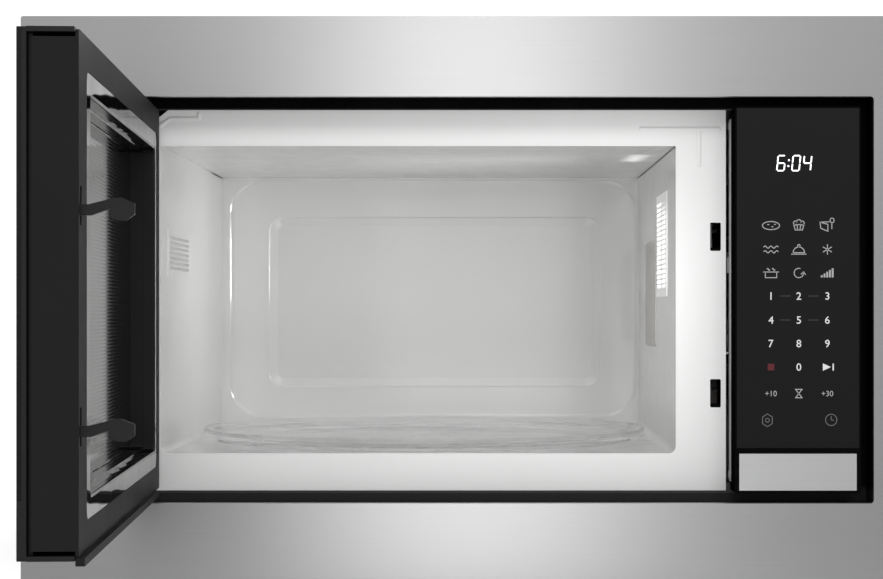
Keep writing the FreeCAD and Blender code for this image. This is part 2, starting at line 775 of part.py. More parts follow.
def wall_opening(x, y0, length, z0, height, lap):
    """The hole in a side wall behind an insert that laps over its edges."""
    return box(x - OVER, x + CAV_SHEET + OVER, y0 + lap, y0 + length - lap, z0 + lap, z0 + height - lap)


def cavity_shell():
    """Side walls and floor bent from one sheet, with the turntable's well and seam gaps under the ceiling."""
    wrap = cavity_prism(Y_SHELL, CAV_Y1, CAV_SHEET, CAV_Z1)
    well = rod(TRAY_X, TRAY_Y, Z_RECESS - CAV_SHEET, RECESS_R + CAV_SHEET, RECESS_D + CAV_SHEET, Z_AXIS)
    shape = join([wrap, well])
    shape = shape.cut(cavity_prism(Y_SHELL - OVER, CAV_Y1 + OVER, 0, CAV_Z1 + OVER))
    shape = shape.cut(rod(TRAY_X, TRAY_Y, Z_RECESS, RECESS_R, RECESS_D + OVER, Z_AXIS))
    shape = shape.cut(rod(TRAY_X, TRAY_Y, Z_RECESS - CAV_SHEET - OVER, DRIVE_HOLE_R,
                          CAV_SHEET + OVER + OVER, Z_AXIS))
    shape = shape.cut(box(CAV_X1 - OVER, CAV_X1 + CAV_SHEET + OVER, Y_SHELL + OVER, CAV_Y1 - OVER,
                          CAV_Z1 - SEAM_GAP, CAV_Z1 + OVER))
    shape = shape.cut(box(CAV_X0 - CAV_SHEET - OVER, CAV_X0 + OVER, CAV_Y1 - SEAM_LEFT_L, CAV_Y1 - OVER,
                          CAV_Z1 - SEAM_GAP, CAV_Z1 + OVER))
    shape = shape.cut(wall_opening(CAV_X1, MICA_Y0, MICA_L, MICA_Z0, MICA_H, MICA_LAP))
    shape = shape.cut(wall_opening(CAV_X1, LAMP_Y0, LAMP_L, LAMP_Z0, LAMP_H, PERF_LAP))
    return shape.cut(wall_opening(CAV_X0 - CAV_SHEET, VENT_Y0, VENT_L, VENT_Z0, VENT_H, PERF_LAP))


def cavity_ceiling():
    """Flat ceiling sheet seamed onto the side walls."""
    return box(CAV_X0 - CAV_SHEET, CAV_X1 + CAV_SHEET, Y_SHELL, CAV_Y1, CAV_Z1, CAV_Z1 + CAV_SHEET)


def pressed_step(outline, y, radius, slope_w, slope_t):
    """A steep lip and a gentle slope sinking back from a sheet at depth y, inside a rounded outline."""
    x0, x1, z0, z1 = outline
    wires = []
    for depth, inset in ((-CAV_SHEET / 2, 0), (0, 0), (BACK_LIP_T, BACK_LIP_W),
                         (BACK_LIP_T + slope_t, BACK_LIP_W + slope_w)):
        block = box(x0 + inset, x1 - inset, y + depth, y + depth + OVER, z0 + inset, z1 - inset)
        faces = rounded(block, radius - inset, Y_AXIS).Faces
        wires.append(min(faces, key=lambda face: face.CenterOfMass.y).OuterWire)
    return Part.makeLoft(wires, True, True)


def cavity_back():
    """Back sheet pressed back in a large rounded pad, and further back in a smaller field inside it."""
    shape = box(CAV_X0 - CAV_SHEET, CAV_X1 + CAV_SHEET, CAV_Y1, CAV_Y1 + CAV_SHEET,
                CAV_Z0 - CAV_SHEET, CAV_Z1 + CAV_SHEET)
    pad = (CAV_X0 + BACK_PAD_LEFT, CAV_X1 - BACK_PAD_RIGHT, CAV_Z0 + BACK_PAD_FOOT, CAV_Z1 - BACK_PAD_TOP)
    field = (CAV_X0 + BACK_FIELD_LEFT, CAV_X1 - BACK_FIELD_RIGHT,
             CAV_Z0 + BACK_FIELD_END, CAV_Z1 - BACK_FIELD_END)
    y_pad = CAV_Y1 + BACK_LIP_T + BACK_PAD_SLOPE_T
    steps = ((pad, CAV_Y1, BACK_PAD_R, BACK_PAD_SLOPE_W, BACK_PAD_SLOPE_T),
             (field, y_pad, BACK_FIELD_R, BACK_FIELD_SLOPE_W, BACK_FIELD_SLOPE_T))
    swell = CAV_SHEET / 2
    for (x0, x1, z0, z1), y, radius, *slope in steps:
        outline = (x0 - swell, x1 + swell, z0 - swell, z1 + swell)
        shape = join([shape, pressed_step(outline, y + CAV_SHEET, radius + swell, *slope)])
    for outline, y, radius, *slope in steps:
        shape = shape.cut(pressed_step(outline, y, radius, *slope))
    return shape


def waveguide_cover():
    """Mica sheet over the microwave inlet in the right wall."""
    sheet = box(CAV_X1 - MICA_T, CAV_X1, MICA_Y0, MICA_Y0 + MICA_L, MICA_Z0, MICA_Z0 + MICA_H)
    return rounded(sheet, MICA_R, X_AXIS)


def perforated(x, y0, length, z0, height):
    """A thin sheet with staggered hexagonal holes inside its lap."""
    sheet = box(x, x + PERF_T, y0, y0 + length, z0, z0 + height)
    edge = PERF_LAP + PERF_R + PERF_T
    rise = PERF_PITCH * math.sqrt(3) / 2
    columns = int((length - edge - edge) / PERF_PITCH)
    rows = int((height - edge - edge) / rise) + 1
    y_mid = y0 + length / 2
    z_mid = z0 + height / 2
    holes = []
    for r in range(rows):
        for c in range(columns):
            y = y_mid + (c - (columns - 1) / 2 + (r % 2 - 1 / 2) / 2) * PERF_PITCH
            z = z_mid + (r - (rows - 1) / 2) * rise
            corners = [Vector(x - OVER, y + PERF_R * math.sin(math.pi * k / 3),
                              z + PERF_R * math.cos(math.pi * k / 3)) for k in range(6)]
            holes.append(prism(corners, X_AXIS * (PERF_T + OVER + OVER)))
    return sheet.cut(Part.makeCompound(holes))


def lamp_screen():
    """Perforated sheet in front of the lamp, on the right wall."""
    return perforated(CAV_X1 - PERF_T, LAMP_Y0, LAMP_L, LAMP_Z0, LAMP_H)


def vent_screen():
    """Perforated steam outlet on the left wall."""
    return perforated(CAV_X0, VENT_Y0, VENT_L, VENT_Z0, VENT_H)


# Turntable

def glass_tray():
    """Glass turntable tray: flat middle, sloping border, upright rim and driving lugs underneath."""
    z = Z_TRAY
    section = [
        Vector(0, 0, z), Vector(TRAY_FLAT_R, 0, z), Vector(TRAY_FOOT_R, 0, z + TRAY_RIM_LOW),
        Vector(TRAY_R, 0, z + TRAY_RIM_EDGE), Vector(TRAY_R, 0, z + TRAY_RIM_TOP),
        Vector(TRAY_R - TRAY_T, 0, z + TRAY_RIM_TOP),
        Vector(TRAY_FOOT_R - TRAY_T / 2, 0, z + TRAY_RIM_LOW + TRAY_T),
        Vector(TRAY_FLAT_R, 0, z + TRAY_T), Vector(0, 0, z + TRAY_T),
    ]
    face = Part.Face(Part.makePolygon(section + section[:1]))
    dish = face.revolve(Vector(0, 0, 0), Z_AXIS, 360)
    dish.translate(Vector(TRAY_X, TRAY_Y, 0))
    lugs = []
    for k in range(3):
        angle = 2 * math.pi * (k + 1 / 2) / 3
        lugs.append(rod(TRAY_X + LUG_R * math.cos(angle), TRAY_Y + LUG_R * math.sin(angle), z - LUG_H,
                        LUG_SIZE_R, LUG_H + TRAY_T / 2, Z_AXIS))
    return join([dish] + lugs)


def turntable_coupler():
    """Three-armed drive piece under the tray, on the motor's shaft."""
    z0 = Z_RECESS + COUPLER_FLOOR_GAP
    z1 = Z_TRAY - ROLL_CLEAR
    hub = rod(TRAY_X, TRAY_Y, z0, COUPLER_HUB_R, z1 - z0, Z_AXIS)
    arms = []
    for k in range(3):
        arm = box(0, COUPLER_ARM_R, -COUPLER_ARM_W / 2, COUPLER_ARM_W / 2,
                  Z_TRAY - LUG_H - COUPLER_FLOOR_GAP, z1)
        arm.rotate(Vector(0, 0, 0), Z_AXIS, 360 * k / 3)
        arm.translate(Vector(TRAY_X, TRAY_Y, 0))
        arms.append(arm)
    shaft = rod(TRAY_X, TRAY_Y, Z_RECESS - SHAFT_L, SHAFT_R, SHAFT_L + COUPLER_FLOOR_GAP + OVER, Z_AXIS)
    return join([hub, shaft] + arms)


def turntable_motor():
    """Flat synchronous motor under the cavity floor, with two fixing ears."""
    z1 = Z_RECESS - CAV_SHEET
    can = rod(TRAY_X, TRAY_Y, z1 - MOTOR_H, MOTOR_R, MOTOR_H, Z_AXIS)
    pieces = [can]
    for side in (-1, 1):
        x = TRAY_X + side * MOTOR_EAR_DX / 2
        pieces.append(rod(x, TRAY_Y, z1 - MOTOR_EAR_T, MOTOR_EAR_R, MOTOR_EAR_T, Z_AXIS))
        bridge = [TRAY_X, x]
        pieces.append(box(min(bridge), max(bridge), TRAY_Y - MOTOR_EAR_R, TRAY_Y + MOTOR_EAR_R,
                          z1 - MOTOR_EAR_T, z1))
    body = join(pieces)
    bore = rod(TRAY_X, TRAY_Y, Z_RECESS - SHAFT_L - OVER, SHAFT_R + RUN_CLEAR, SHAFT_L + OVER, Z_AXIS)
    return body.cut(bore)


ROLLER_R = TRAY_LIFT / 2 - ROLL_CLEAR
ROLLER_Z = Z_RECESS + TRAY_LIFT / 2
RING_R1 = ROLLER_TRACK_R - ROLLER_W / 2 - RING_GAP
RING_R0 = RING_R1 - RING_W


def about_tray(shape, index):
    """A piece made along +X, turned to one of the three roller stations."""
    shape.rotate(Vector(0, 0, 0), Z_AXIS, 360 * index / 3)
    shape.translate(Vector(TRAY_X, TRAY_Y, ROLLER_Z))
    return shape


def roller_ring():
    """Flat ring with three outward axles, each with a retaining cap."""
    ring = rod(TRAY_X, TRAY_Y, ROLLER_Z - RING_H / 2, RING_R1, RING_H, Z_AXIS)
    ring = ring.cut(rod(TRAY_X, TRAY_Y, ROLLER_Z - RING_H, RING_R0, RING_H + RING_H, Z_AXIS))
    wheel_end = ROLLER_TRACK_R + ROLLER_W / 2
    pieces = [ring]
    for k in range(3):
        axle = rod(RING_R1 - RING_W / 2, 0, 0, AXLE_R, wheel_end + ROLL_CLEAR - RING_R1 + RING_W / 2, X_AXIS)
        cap = rod(wheel_end + ROLL_CLEAR, 0, 0, AXLE_CAP_R, AXLE_END, X_AXIS)
        shoulder = rod(RING_R1 - RING_W / 2, 0, 0, AXLE_CAP_R, RING_W / 2 + RING_GAP - ROLL_CLEAR, X_AXIS)
        pieces.append(about_tray(join([axle, cap, shoulder]), k))
    return join(pieces)


def roller_wheel(index):
    """A small plastic wheel with bevelled edges, bored for its axle."""
    wheel = rod(ROLLER_TRACK_R - ROLLER_W / 2, 0, 0, ROLLER_R, ROLLER_W, X_AXIS)
    rims = [e for e in wheel.Edges if e.Curve.TypeId == "Part::GeomCircle"]
    wheel = wheel.makeChamfer(ROLLER_EDGE, rims)
    bore = rod(ROLLER_TRACK_R - ROLLER_W, 0, 0, AXLE_R + RUN_CLEAR, ROLLER_W + ROLLER_W, X_AXIS)
    return about_tray(wheel.cut(bore), index)


# Hinges

def hinge(side):
    """Bent hinge plate on the front plate with its pin; side is 1 for the upper and -1 for the lower."""
    z0 = Z_FACE + HINGE_GAP
    z1 = z0 + HINGE_SHEET
    x0 = PIN_X - HINGE_INSET
    leaf = box(x0, x0 + HINGE_LEAF_W, PIN_Y - HINGE_LEAF_NOSE, Y_PLATE, z0, z1)
    nose_edges = [e for e in edges_along(leaf, Z_AXIS) if e.CenterOfMass.y < PIN_Y]
    leaf = leaf.makeFillet(HINGE_LEAF_NOSE - HINGE_SHEET, nose_edges)
    tab = box(x0, x0 + HINGE_LEAF_W, Y_PLATE - HINGE_SHEET, Y_PLATE, z1 - HINGE_TAB_H, z1)
    pin = rod(PIN_X, PIN_Y, z0 - PIN_L, PIN_R, PIN_L + HINGE_SHEET, Z_AXIS)
    shape = join([leaf, tab, pin])
    return shape if side > 0 else shape.mirror(Vector(0, 0, 0), Z_AXIS)


# Door, modelled shut

def window_prism(y0, y1, grow):
    """The door's viewing window as a block with rounded corners."""
    half = Z_FACE - WINDOW_END + grow
    return rounded(box(X_DOOR_HINGE + WINDOW_HINGE - grow, X_DOOR_FREE - WINDOW_FREE + grow, y0, y1,
                       -half, half), WINDOW_R, Y_AXIS)


def strip_block(x0, x1, y0, y1, grow):
    """The stainless foot strip of the door or the panel, or its recess when grown."""
    z0 = -Z_FACE + STRIP_FOOT
    return box(x0 + STRIP_SIDE - grow, x1 - STRIP_SIDE + grow, y0, y1, z0 - grow, z0 + STRIP_H + grow)


def door_front_frame():
    """Moulded front frame: glass seat, strip recess, recessed neck behind and rims along top and foot."""
    skin = rounded(box(X_DOOR_HINGE, X_DOOR_FREE, Y_FACE, Y_GROOVE, Z_DOOR, Z_FACE), FACE_EDGE_R, Y_AXIS)
    seat = box(X_DOOR_HINGE - OVER, X_DOOR_FREE + OVER, Y_FACE - OVER, Y_FACE + GLASS_T,
               Z_GLASS, Z_FACE + OVER)
    recess = strip_block(X_DOOR_HINGE, X_DOOR_FREE, Y_FACE - OVER, Y_FACE + STRIP_T, 0)
    g = GROOVE_IN
    neck = box(X_DOOR_HINGE + g, X_DOOR_FREE - g, Y_GROOVE, Y_BODY, Z_DOOR, Z_FACE)
    g = GROOVE_IN + GROOVE_RING
    neck_bore = box(X_DOOR_HINGE + g, X_DOOR_FREE - g, Y_GROOVE - OVER, Y_BODY + OVER,
                    Z_DOOR + g, Z_FACE - g)
    y1 = Y_INNER - RIM_BACK
    rims = [box(X_DOOR_HINGE, X_DOOR_FREE, Y_GROOVE, y1, Z_FACE - RIM_T, Z_FACE),
            box(X_DOOR_HINGE, X_DOOR_FREE, Y_GROOVE, y1, Z_DOOR, Z_DOOR + RIM_T)]
    shape = join([skin.cut(seat).cut(recess), neck.cut(neck_bore)] + rims)
    shape = shape.cut(window_prism(Y_FACE - OVER, Y_BODY + OVER, 0))
    return swing(shape.cut(pin_hole(PIN_R + GUIDE_CLEAR)))


def door_glass():
    """Black front glass of the door, edge to edge above the strip."""
    glass = box(X_DOOR_HINGE, X_DOOR_FREE, Y_FACE, Y_FACE + GLASS_T, Z_GLASS, Z_FACE)
    top_edges = [e for e in edges_along(glass, Y_AXIS) if e.CenterOfMass.z > 0]
    return swing(glass.makeFillet(FACE_EDGE_R, top_edges))


def door_strip():
    """Stainless strip along the foot of the door's front."""
    return swing(strip_block(X_DOOR_HINGE, X_DOOR_FREE, Y_FACE, Y_FACE + STRIP_T, 0))


def pin_hole(radius):
    """A hole for both hinge pins."""
    return rod(PIN_X, PIN_Y, -Z_FACE - OVER, radius, FACE_H + OVER + OVER, Z_AXIS)


def frame_box(y0, y1, inset):
    """A block with the steel frame's outline, moved in by an inset."""
    return box(X_BODY_HINGE + BEZEL_WALL + inset, X_BODY_FREE - LATCH_BAY - inset, y0, y1,
               Z_BODY0 + BEZEL_WALL + inset, Z_BODY1 - BEZEL_WALL - inset)


def door_frame():
    """Steel door pan: outer walls, a lip for the microwave choke and a broad border round the window."""
    y1 = Y_INNER - BEZEL_FACE_T - INNER_PANEL_T
    pan = frame_box(Y_BODY, y1, 0)
    pan = pan.cut(frame_box(Y_BODY + FRAME_SHEET, y1 - FRAME_SHEET, FRAME_SHEET))
    pan = pan.cut(frame_box(y1 - FRAME_SHEET - OVER, y1 + OVER, FRAME_LIP))
    pan = pan.cut(window_prism(Y_BODY - OVER, Y_BODY + FRAME_SHEET + OVER, 0))
    return swing(pan.cut(pin_hole(PIN_R + PIN_CLEAR)))


def door_screen():
    """Screen sheet lapped onto the frame round the window."""
    y0 = Y_BODY + FRAME_SHEET
    return swing(window_prism(y0, y0 + SCREEN_T, SCREEN_LAP))


def inner_panel_box(y0, y1, inset_free, inset):
    """A block with the inner panel's outline, moved in by insets."""
    return box(X_DOOR_HINGE + PANEL_RIM_HINGE + inset, X_DOOR_FREE - PANEL_RIM_FREE - inset_free, y0, y1,
               -Z_FACE + PANEL_RIM_Z + inset, Z_FACE - PANEL_RIM_Z - inset)


LATCH_Y0 = Y_INNER - BEZEL_FACE_T - LATCH_BAR_BACK - LATCH_BAR_D
LATCH_Z0 = HOOK_LOW_Z - LATCH_BAR_OVER
LATCH_Z1 = HOOK_UP_Z + LATCH_BAR_OVER


def door_bezel():
    """Moulded inner surround: walls, flanged face with the panel opening, lip, hook slots and guides."""
    walls = box(X_BODY_HINGE, X_BODY_FREE, Y_BODY, Y_INNER, Z_BODY0, Z_BODY1)
    flange = box(X_BODY_HINGE, X_BODY_FREE, Y_INNER - BEZEL_FLANGE_T, Y_INNER,
                 Z_DOOR + BEZEL_FLANGE_END, Z_FACE - BEZEL_FLANGE_END)
    outer = join([walls, rounded(flange, BEZEL_CORNER_R, Y_AXIS)])
    w = BEZEL_WALL
    hollow = box(X_BODY_HINGE + w, X_BODY_FREE - w, Y_BODY - OVER, Y_INNER - BEZEL_FACE_T,
                 Z_BODY0 + w, Z_BODY1 - w)
    opening = rounded(inner_panel_box(Y_BODY, Y_INNER + OVER, 0, 0), PANEL_CORNER_R, Y_AXIS)
    shape = outer.cut(hollow).cut(opening)
    lip_x0 = X_BODY_HINGE + HINGE_LEAF_W + PANEL_RIM_HINGE
    lip_z0 = Z_DOOR - BEZEL_LIP_DROP
    lip = box(lip_x0, X_BODY_FREE, Y_INNER - BEZEL_FACE_T, Y_INNER + BEZEL_LIP_OUT,
              lip_z0, lip_z0 + BEZEL_LIP_H)
    middle = (HOOK_UP_Z + HOOK_LOW_Z) / 2
    guides = []
    for side in (-1, 1):
        near = X_HOOK + side * (HOOK_T / 2 + GUIDE_CLEAR)
        far = X_BODY_FREE - w if side > 0 else near - GUIDE_WALL
        guides.append(box(min(near, far), max(near, far), LATCH_Y0, Y_INNER - BEZEL_FACE_T,
                          middle - GUIDE_H / 2, middle + GUIDE_H / 2))
    post_top = LATCH_Z0 - SPRING_L
    post = box(X_HOOK - SPRING_R, X_BODY_FREE - w, LATCH_Y0, Y_INNER - BEZEL_FACE_T,
               post_top - SPRING_POST_H, post_top)
    shape = join([shape, lip, post] + guides)
    for z in HOOK_ZS:
        shape = shape.cut(box(X_HOOK - LATCH_SLOT_W / 2, X_HOOK + LATCH_SLOT_W / 2,
                              Y_INNER - BEZEL_FACE_T - OVER, Y_INNER + OVER,
                              z - LATCH_SLOT_H / 2, z + LATCH_SLOT_H / 2))
    return swing(shape.cut(pin_hole(PIN_R + GUIDE_CLEAR)))


def inner_dish(y0, y1, grow):
    """The dish in the inner panel as a block between two depths, grown outwards."""
    block = inner_panel_box(y0, y1, INNER_STEP_FREE - grow, INNER_STEP_Z - grow)
    return rounded(block, INNER_R + max(grow, 0), Y_AXIS)


def door_inner_panel():
    """Glossy black inner panel: a rim lapped behind the bezel's face and a deep dish with a ledge."""
    y1 = Y_INNER - INNER_PANEL_SINK
    seat = Y_INNER - BEZEL_FACE_T
    floor = Y_INNER - INNER_DEPTH
    plate = rounded(inner_panel_box(seat - INNER_PANEL_T, y1, 0, 0), PANEL_CORNER_R, Y_AXIS)
    border = inner_panel_box(seat - INNER_PANEL_T, seat, -PANEL_CORNER_R, -PANEL_CORNER_R)
    shape = join([plate, border, inner_dish(floor - INNER_PANEL_T, seat, INNER_WALL)])
    shape = shape.cut(inner_dish(Y_INNER - INNER_LEDGE_DEPTH, y1 + OVER, 0))
    shape = shape.cut(inner_dish(floor, y1 + OVER, -INNER_LEDGE))
    rim = inner_dish(y1 - INNER_EDGE_R, y1 + INNER_EDGE_R, INNER_WALL)
    mouth = [e for e in shape.Edges if e.BoundBox.YMin > y1 - INNER_EDGE_R
             and rim.isInside(e.CenterOfMass, INNER_EDGE_R / 2, True)]
    return swing(shape.makeFillet(INNER_EDGE_R, mouth))


def hook_outline(z):
    """The side outline of one hook, from the plate to its barbed head."""
    return [Vector(X_HOOK - HOOK_T / 2, Y_INNER + a * HOOK_REACH, z + b * HOOK_HEAD_H)
            for a, b in HOOK_OUTLINE_SHARES]


def door_latch():
    """Sliding latch plate in the free edge of the door, with its two hooks."""
    bar = box(X_HOOK - HOOK_T / 2, X_HOOK + HOOK_T / 2, LATCH_Y0, LATCH_Y0 + LATCH_BAR_D, LATCH_Z0, LATCH_Z1)
    hooks = [prism(hook_outline(z), X_AXIS * HOOK_T) for z in HOOK_ZS]
    return swing(join([bar] + hooks))


def latch_spring():
    """Return spring between the latch plate and its post, as its outer tube."""
    y = LATCH_Y0 + LATCH_BAR_D / 2
    tube = rod(X_HOOK, y, LATCH_Z0 - SPRING_L, SPRING_R, SPRING_L, Z_AXIS)
    bore = rod(X_HOOK, y, LATCH_Z0 - SPRING_L - OVER, SPRING_BORE_R, SPRING_L + OVER + OVER, Z_AXIS)
    return swing(tube.cut(bore))


# Latch board behind the front plate

BOARD_X0 = X_HOOK - BOARD_IN
BOARD_X1 = X_HOOK + BOARD_OUT
BOARD_Y1 = Y_SHELL + BOARD_D
BOARD_Z0 = HOOK_LOW_Z - BOARD_UNDER
BOARD_Z1 = HOOK_UP_Z + BOARD_OVER
BARB_DROP = -HOOK_HEAD_H * min(b for a, b in HOOK_OUTLINE_SHARES)
POCKET_X0 = X_HOOK - POCKET_HALF
SLIDER_X0 = POCKET_X0 - SLIDER_CLEAR - SLIDER_W
SLIDER_Y0 = Y_SHELL + KEEPER_D + SLIDER_BACK
FINGER_DROP = BARB_DROP + SLIDER_CLEAR


def latch_board():
    """Moulded latch board: a pocket and keeper for each hook and a channel for the release slider."""
    shape = box(BOARD_X0, BOARD_X1, Y_SHELL, BOARD_Y1, BOARD_Z0, BOARD_Z1)
    for z in HOOK_ZS:
        shape = shape.cut(box(POCKET_X0, X_HOOK + POCKET_HALF, Y_SHELL - OVER, BOARD_Y1 + OVER,
                              z - BARB_DROP - KEEPER_CLEAR, z + POCKET_UP))
        shape = shape.cut(box(POCKET_X0, X_HOOK + POCKET_HALF, Y_SHELL + KEEPER_D, BOARD_Y1 + OVER,
                              z - POCKET_DOWN, z + POCKET_UP))
    c = SLIDER_CLEAR
    return shape.cut(box(SLIDER_X0 - c, POCKET_X0, SLIDER_Y0 - c, SLIDER_Y0 + SLIDER_D + c,
                         BOARD_Z0 - OVER, HOOK_UP_Z + POCKET_UP))


def release_slider():
    """Upright slider with a finger under each hook and a plunger down into the solenoid."""
    x1 = SLIDER_X0 + SLIDER_W
    y1 = SLIDER_Y0 + SLIDER_D
    z0 = HOOK_LOW_Z - FINGER_DROP - FINGER_T
    pieces = [box(SLIDER_X0, x1, SLIDER_Y0, y1, z0, HOOK_UP_Z - FINGER_DROP)]
    for z in HOOK_ZS:
        pieces.append(box(SLIDER_X0, X_HOOK + HOOK_T / 2, SLIDER_Y0, y1,
                          z - FINGER_DROP - FINGER_T, z - FINGER_DROP))
    x = SLIDER_X0 + SLIDER_W / 2
    y = SLIDER_Y0 + SLIDER_D / 2
    tip = BOARD_Z0 - PLUNGER_IN
    pieces.append(rod(x, y, tip, PLUNGER_R, z0 - tip, Z_AXIS))
    return join(pieces)


def release_solenoid():
    """Solenoid frame and coil under the latch board, bored for the plunger."""
    x = SLIDER_X0 + SLIDER_W / 2
    y = SLIDER_Y0 + SLIDER_D / 2
    half = SOLENOID_W / 2
    frame = box(x - half, x + half, y - half, y + half, BOARD_Z0 - SOLENOID_H, BOARD_Z0)
    side_cut = box(x - half - OVER, x + half + OVER, y - half - OVER, y + half + OVER,
                   BOARD_Z0 - SOLENOID_H + SOLENOID_COIL_IN, BOARD_Z0 - SOLENOID_COIL_IN)
    web = box(x - half, x - half + SOLENOID_COIL_IN, y - half, y + half, BOARD_Z0 - SOLENOID_H, BOARD_Z0)
    coil = rod(x, y, BOARD_Z0 - SOLENOID_H, half - SOLENOID_COIL_IN / 2, SOLENOID_H, Z_AXIS)
    depth = PLUNGER_IN + LATCH_DROP + SOLENOID_BORE_END
    bore = rod(x, y, BOARD_Z0 - depth, PLUNGER_R + RUN_CLEAR, depth + OVER, Z_AXIS)
    return join([frame.cut(side_cut), web, coil]).cut(bore)


def interlock_switches():
    """Door microswitches on the outer side of the latch board: two at the upper hook, one at the lower."""
    places = [HOOK_UP_Z - SWITCH_Z - SWITCH_GAP / 2, HOOK_UP_Z + SWITCH_GAP / 2, HOOK_LOW_Z - SWITCH_Z / 2]
    y0 = BOARD_Y1 - SWITCH_Y
    shapes = []
    for z in places:
        case = rounded(box(BOARD_X1, BOARD_X1 + SWITCH_X, y0, BOARD_Y1, z, z + SWITCH_Z), SWITCH_TIP, X_AXIS)
        button = rod(BOARD_X1 + SWITCH_X / 2, y0 - SWITCH_TIP, z + SWITCH_Z / 2, SWITCH_TIP,
                     SWITCH_TIP + SWITCH_TIP, Y_AXIS)
        shapes.append(join([case, button]))
    return Part.makeCompound(shapes)


# Control panel

Y_SENSOR = Y_FACE + GLASS_T
Y_FRONT_WALL = Y_SENSOR + SENSOR_T
Y_STEP = Y_FACE + HOUSING_STEP_Y
X_STEP = X_PANEL + BRACKET_SIDE_IN + BRACKET_SIDE_T
Y_PCB = Y_FRONT_WALL + HOUSING_WALL + PCB_STAND
PCB_X0 = X_STEP + HOUSING_WALL + PCB_EDGE
PCB_X1 = X_FACE - HOUSING_WALL - PCB_EDGE
PCB_Z0 = -Z_FACE + PCB_BOTTOM
PCB_Z1 = Z_FACE - HOUSING_WALL - PCB_EDGE
DISPLAY_X = (X_PANEL + X_FACE) / 2
DISPLAY_Z = Z_FACE - DISPLAY_DROP


def display_block(y0, y1, grow):
    """The display's outline as a block, or its window when grown."""
    w = DISPLAY_W / 2 + grow
    h = DISPLAY_H / 2 + grow
    return box(DISPLAY_X - w, DISPLAY_X + w, y0, y1, DISPLAY_Z - h, DISPLAY_Z + h)


def pcb_corners():
    """Centres of the board's four fixing bosses."""
    return [(x, z) for x in (PCB_X0 + PCB_BOSS_IN, PCB_X1 - PCB_BOSS_IN)
            for z in (PCB_Z0 + PCB_BOSS_IN, PCB_Z1 - PCB_BOSS_IN)]


def panel_glass_box(y0, y1):
    """The control glass's outline as a block, inside the housing's rim."""
    return box(X_PANEL + PANEL_GLASS_IN, X_FACE - PANEL_GLASS_IN, y0, y1,
               Z_GLASS, Z_FACE - PANEL_GLASS_IN)


def control_housing():
    """Moulded panel housing: glass seat, strip recess, stepped left wall, open back and board bosses."""
    block = rounded(box(X_PANEL, X_FACE, Y_FACE, Y_PLATE, -Z_FACE, Z_FACE), FACE_EDGE_R, Y_AXIS)
    seat = panel_glass_box(Y_FACE - OVER, Y_FRONT_WALL)
    step = box(X_PANEL - OVER, X_STEP, Y_STEP, Y_PLATE + OVER, -Z_FACE - OVER, Z_FACE + OVER)
    recess = strip_block(X_PANEL, X_FACE, Y_FACE - OVER, Y_FACE + STRIP_T, 0)
    w = HOUSING_WALL
    hollow = box(X_STEP + w, X_FACE - w, Y_FRONT_WALL + w, Y_PLATE + OVER, -Z_FACE + w, Z_FACE - w)
    shape = block.cut(seat).cut(step).cut(recess).cut(hollow)
    bosses = [rod(x, Y_FRONT_WALL, z, PCB_BOSS_R, Y_PCB - Y_FRONT_WALL, Y_AXIS) for x, z in pcb_corners()]
    shape = join([shape] + bosses)
    return shape.cut(display_block(Y_FACE - OVER, Y_FRONT_WALL + w + OVER, DISPLAY_FIT))


def control_glass():
    """Black touch glass above the strip."""
    return panel_glass_box(Y_FACE, Y_SENSOR)


def touch_sensor():
    """Touch film behind the glass, with a window for the display."""
    e = STRIP_SIDE
    film = box(X_PANEL + e, X_FACE - e, Y_SENSOR, Y_FRONT_WALL, Z_GLASS + e, Z_FACE - e)
    return film.cut(display_block(Y_SENSOR - OVER, Y_FRONT_WALL + OVER, DISPLAY_FIT))


def control_strip():
    """Stainless strip along the foot of the control panel."""
    return strip_block(X_PANEL, X_FACE, Y_FACE, Y_FACE + STRIP_T, 0)


PCB_PART_SHARES = (0.12, 0.36, 0.8)


def control_board():
    """Circuit board on the housing's bosses, with a relay, a small transformer and a connector row."""
    board = box(PCB_X0, PCB_X1, Y_PCB, Y_PCB + PCB_T, PCB_Z0, PCB_Z1)
    y0 = Y_PCB + PCB_T
    wide = PCB_X1 - PCB_X0
    x_mid = (PCB_X0 + PCB_X1) / 2
    parts = [board]
    for share in PCB_PART_SHARES:
        z = PCB_Z0 + share * (PCB_Z1 - PCB_Z0)
        parts.append(box(x_mid - wide / 4, x_mid + wide / 4, y0, y0 + PCB_PART_H, z, z + PCB_PART_W))
    return join(parts)


def display_module():
    """Digit display behind the glass, standing on the board."""
    return display_block(Y_SENSOR, Y_PCB, 0)


def panel_bracket():
    """Grey side plate that carries the control housing, with two tabs behind the front plate."""
    x0 = X_PANEL + BRACKET_SIDE_IN
    half = Z_FACE - BRACKET_SIDE_END
    side = box(x0, X_STEP, Y_STEP, Y_SHELL + BRACKET_SIDE_T, -half, half)
    tabs = []
    for sign in (-1, 1):
        ends = (sign * (half - BRACKET_WEB_END), sign * (half - BRACKET_WEB_END - BRACKET_WEB_H))
        tabs.append(box(X_PLATE - BRACKET_WEB_L, X_STEP, Y_SHELL, Y_SHELL + BRACKET_SIDE_T,
                        min(ends), max(ends)))
    return join([side] + tabs)


# Microwave source

MAG_Y = MICA_Y0 + MICA_L / 2
MAG_Z = MICA_Z0 + MICA_H / 2
X_MAG = X_WALL + WG_D


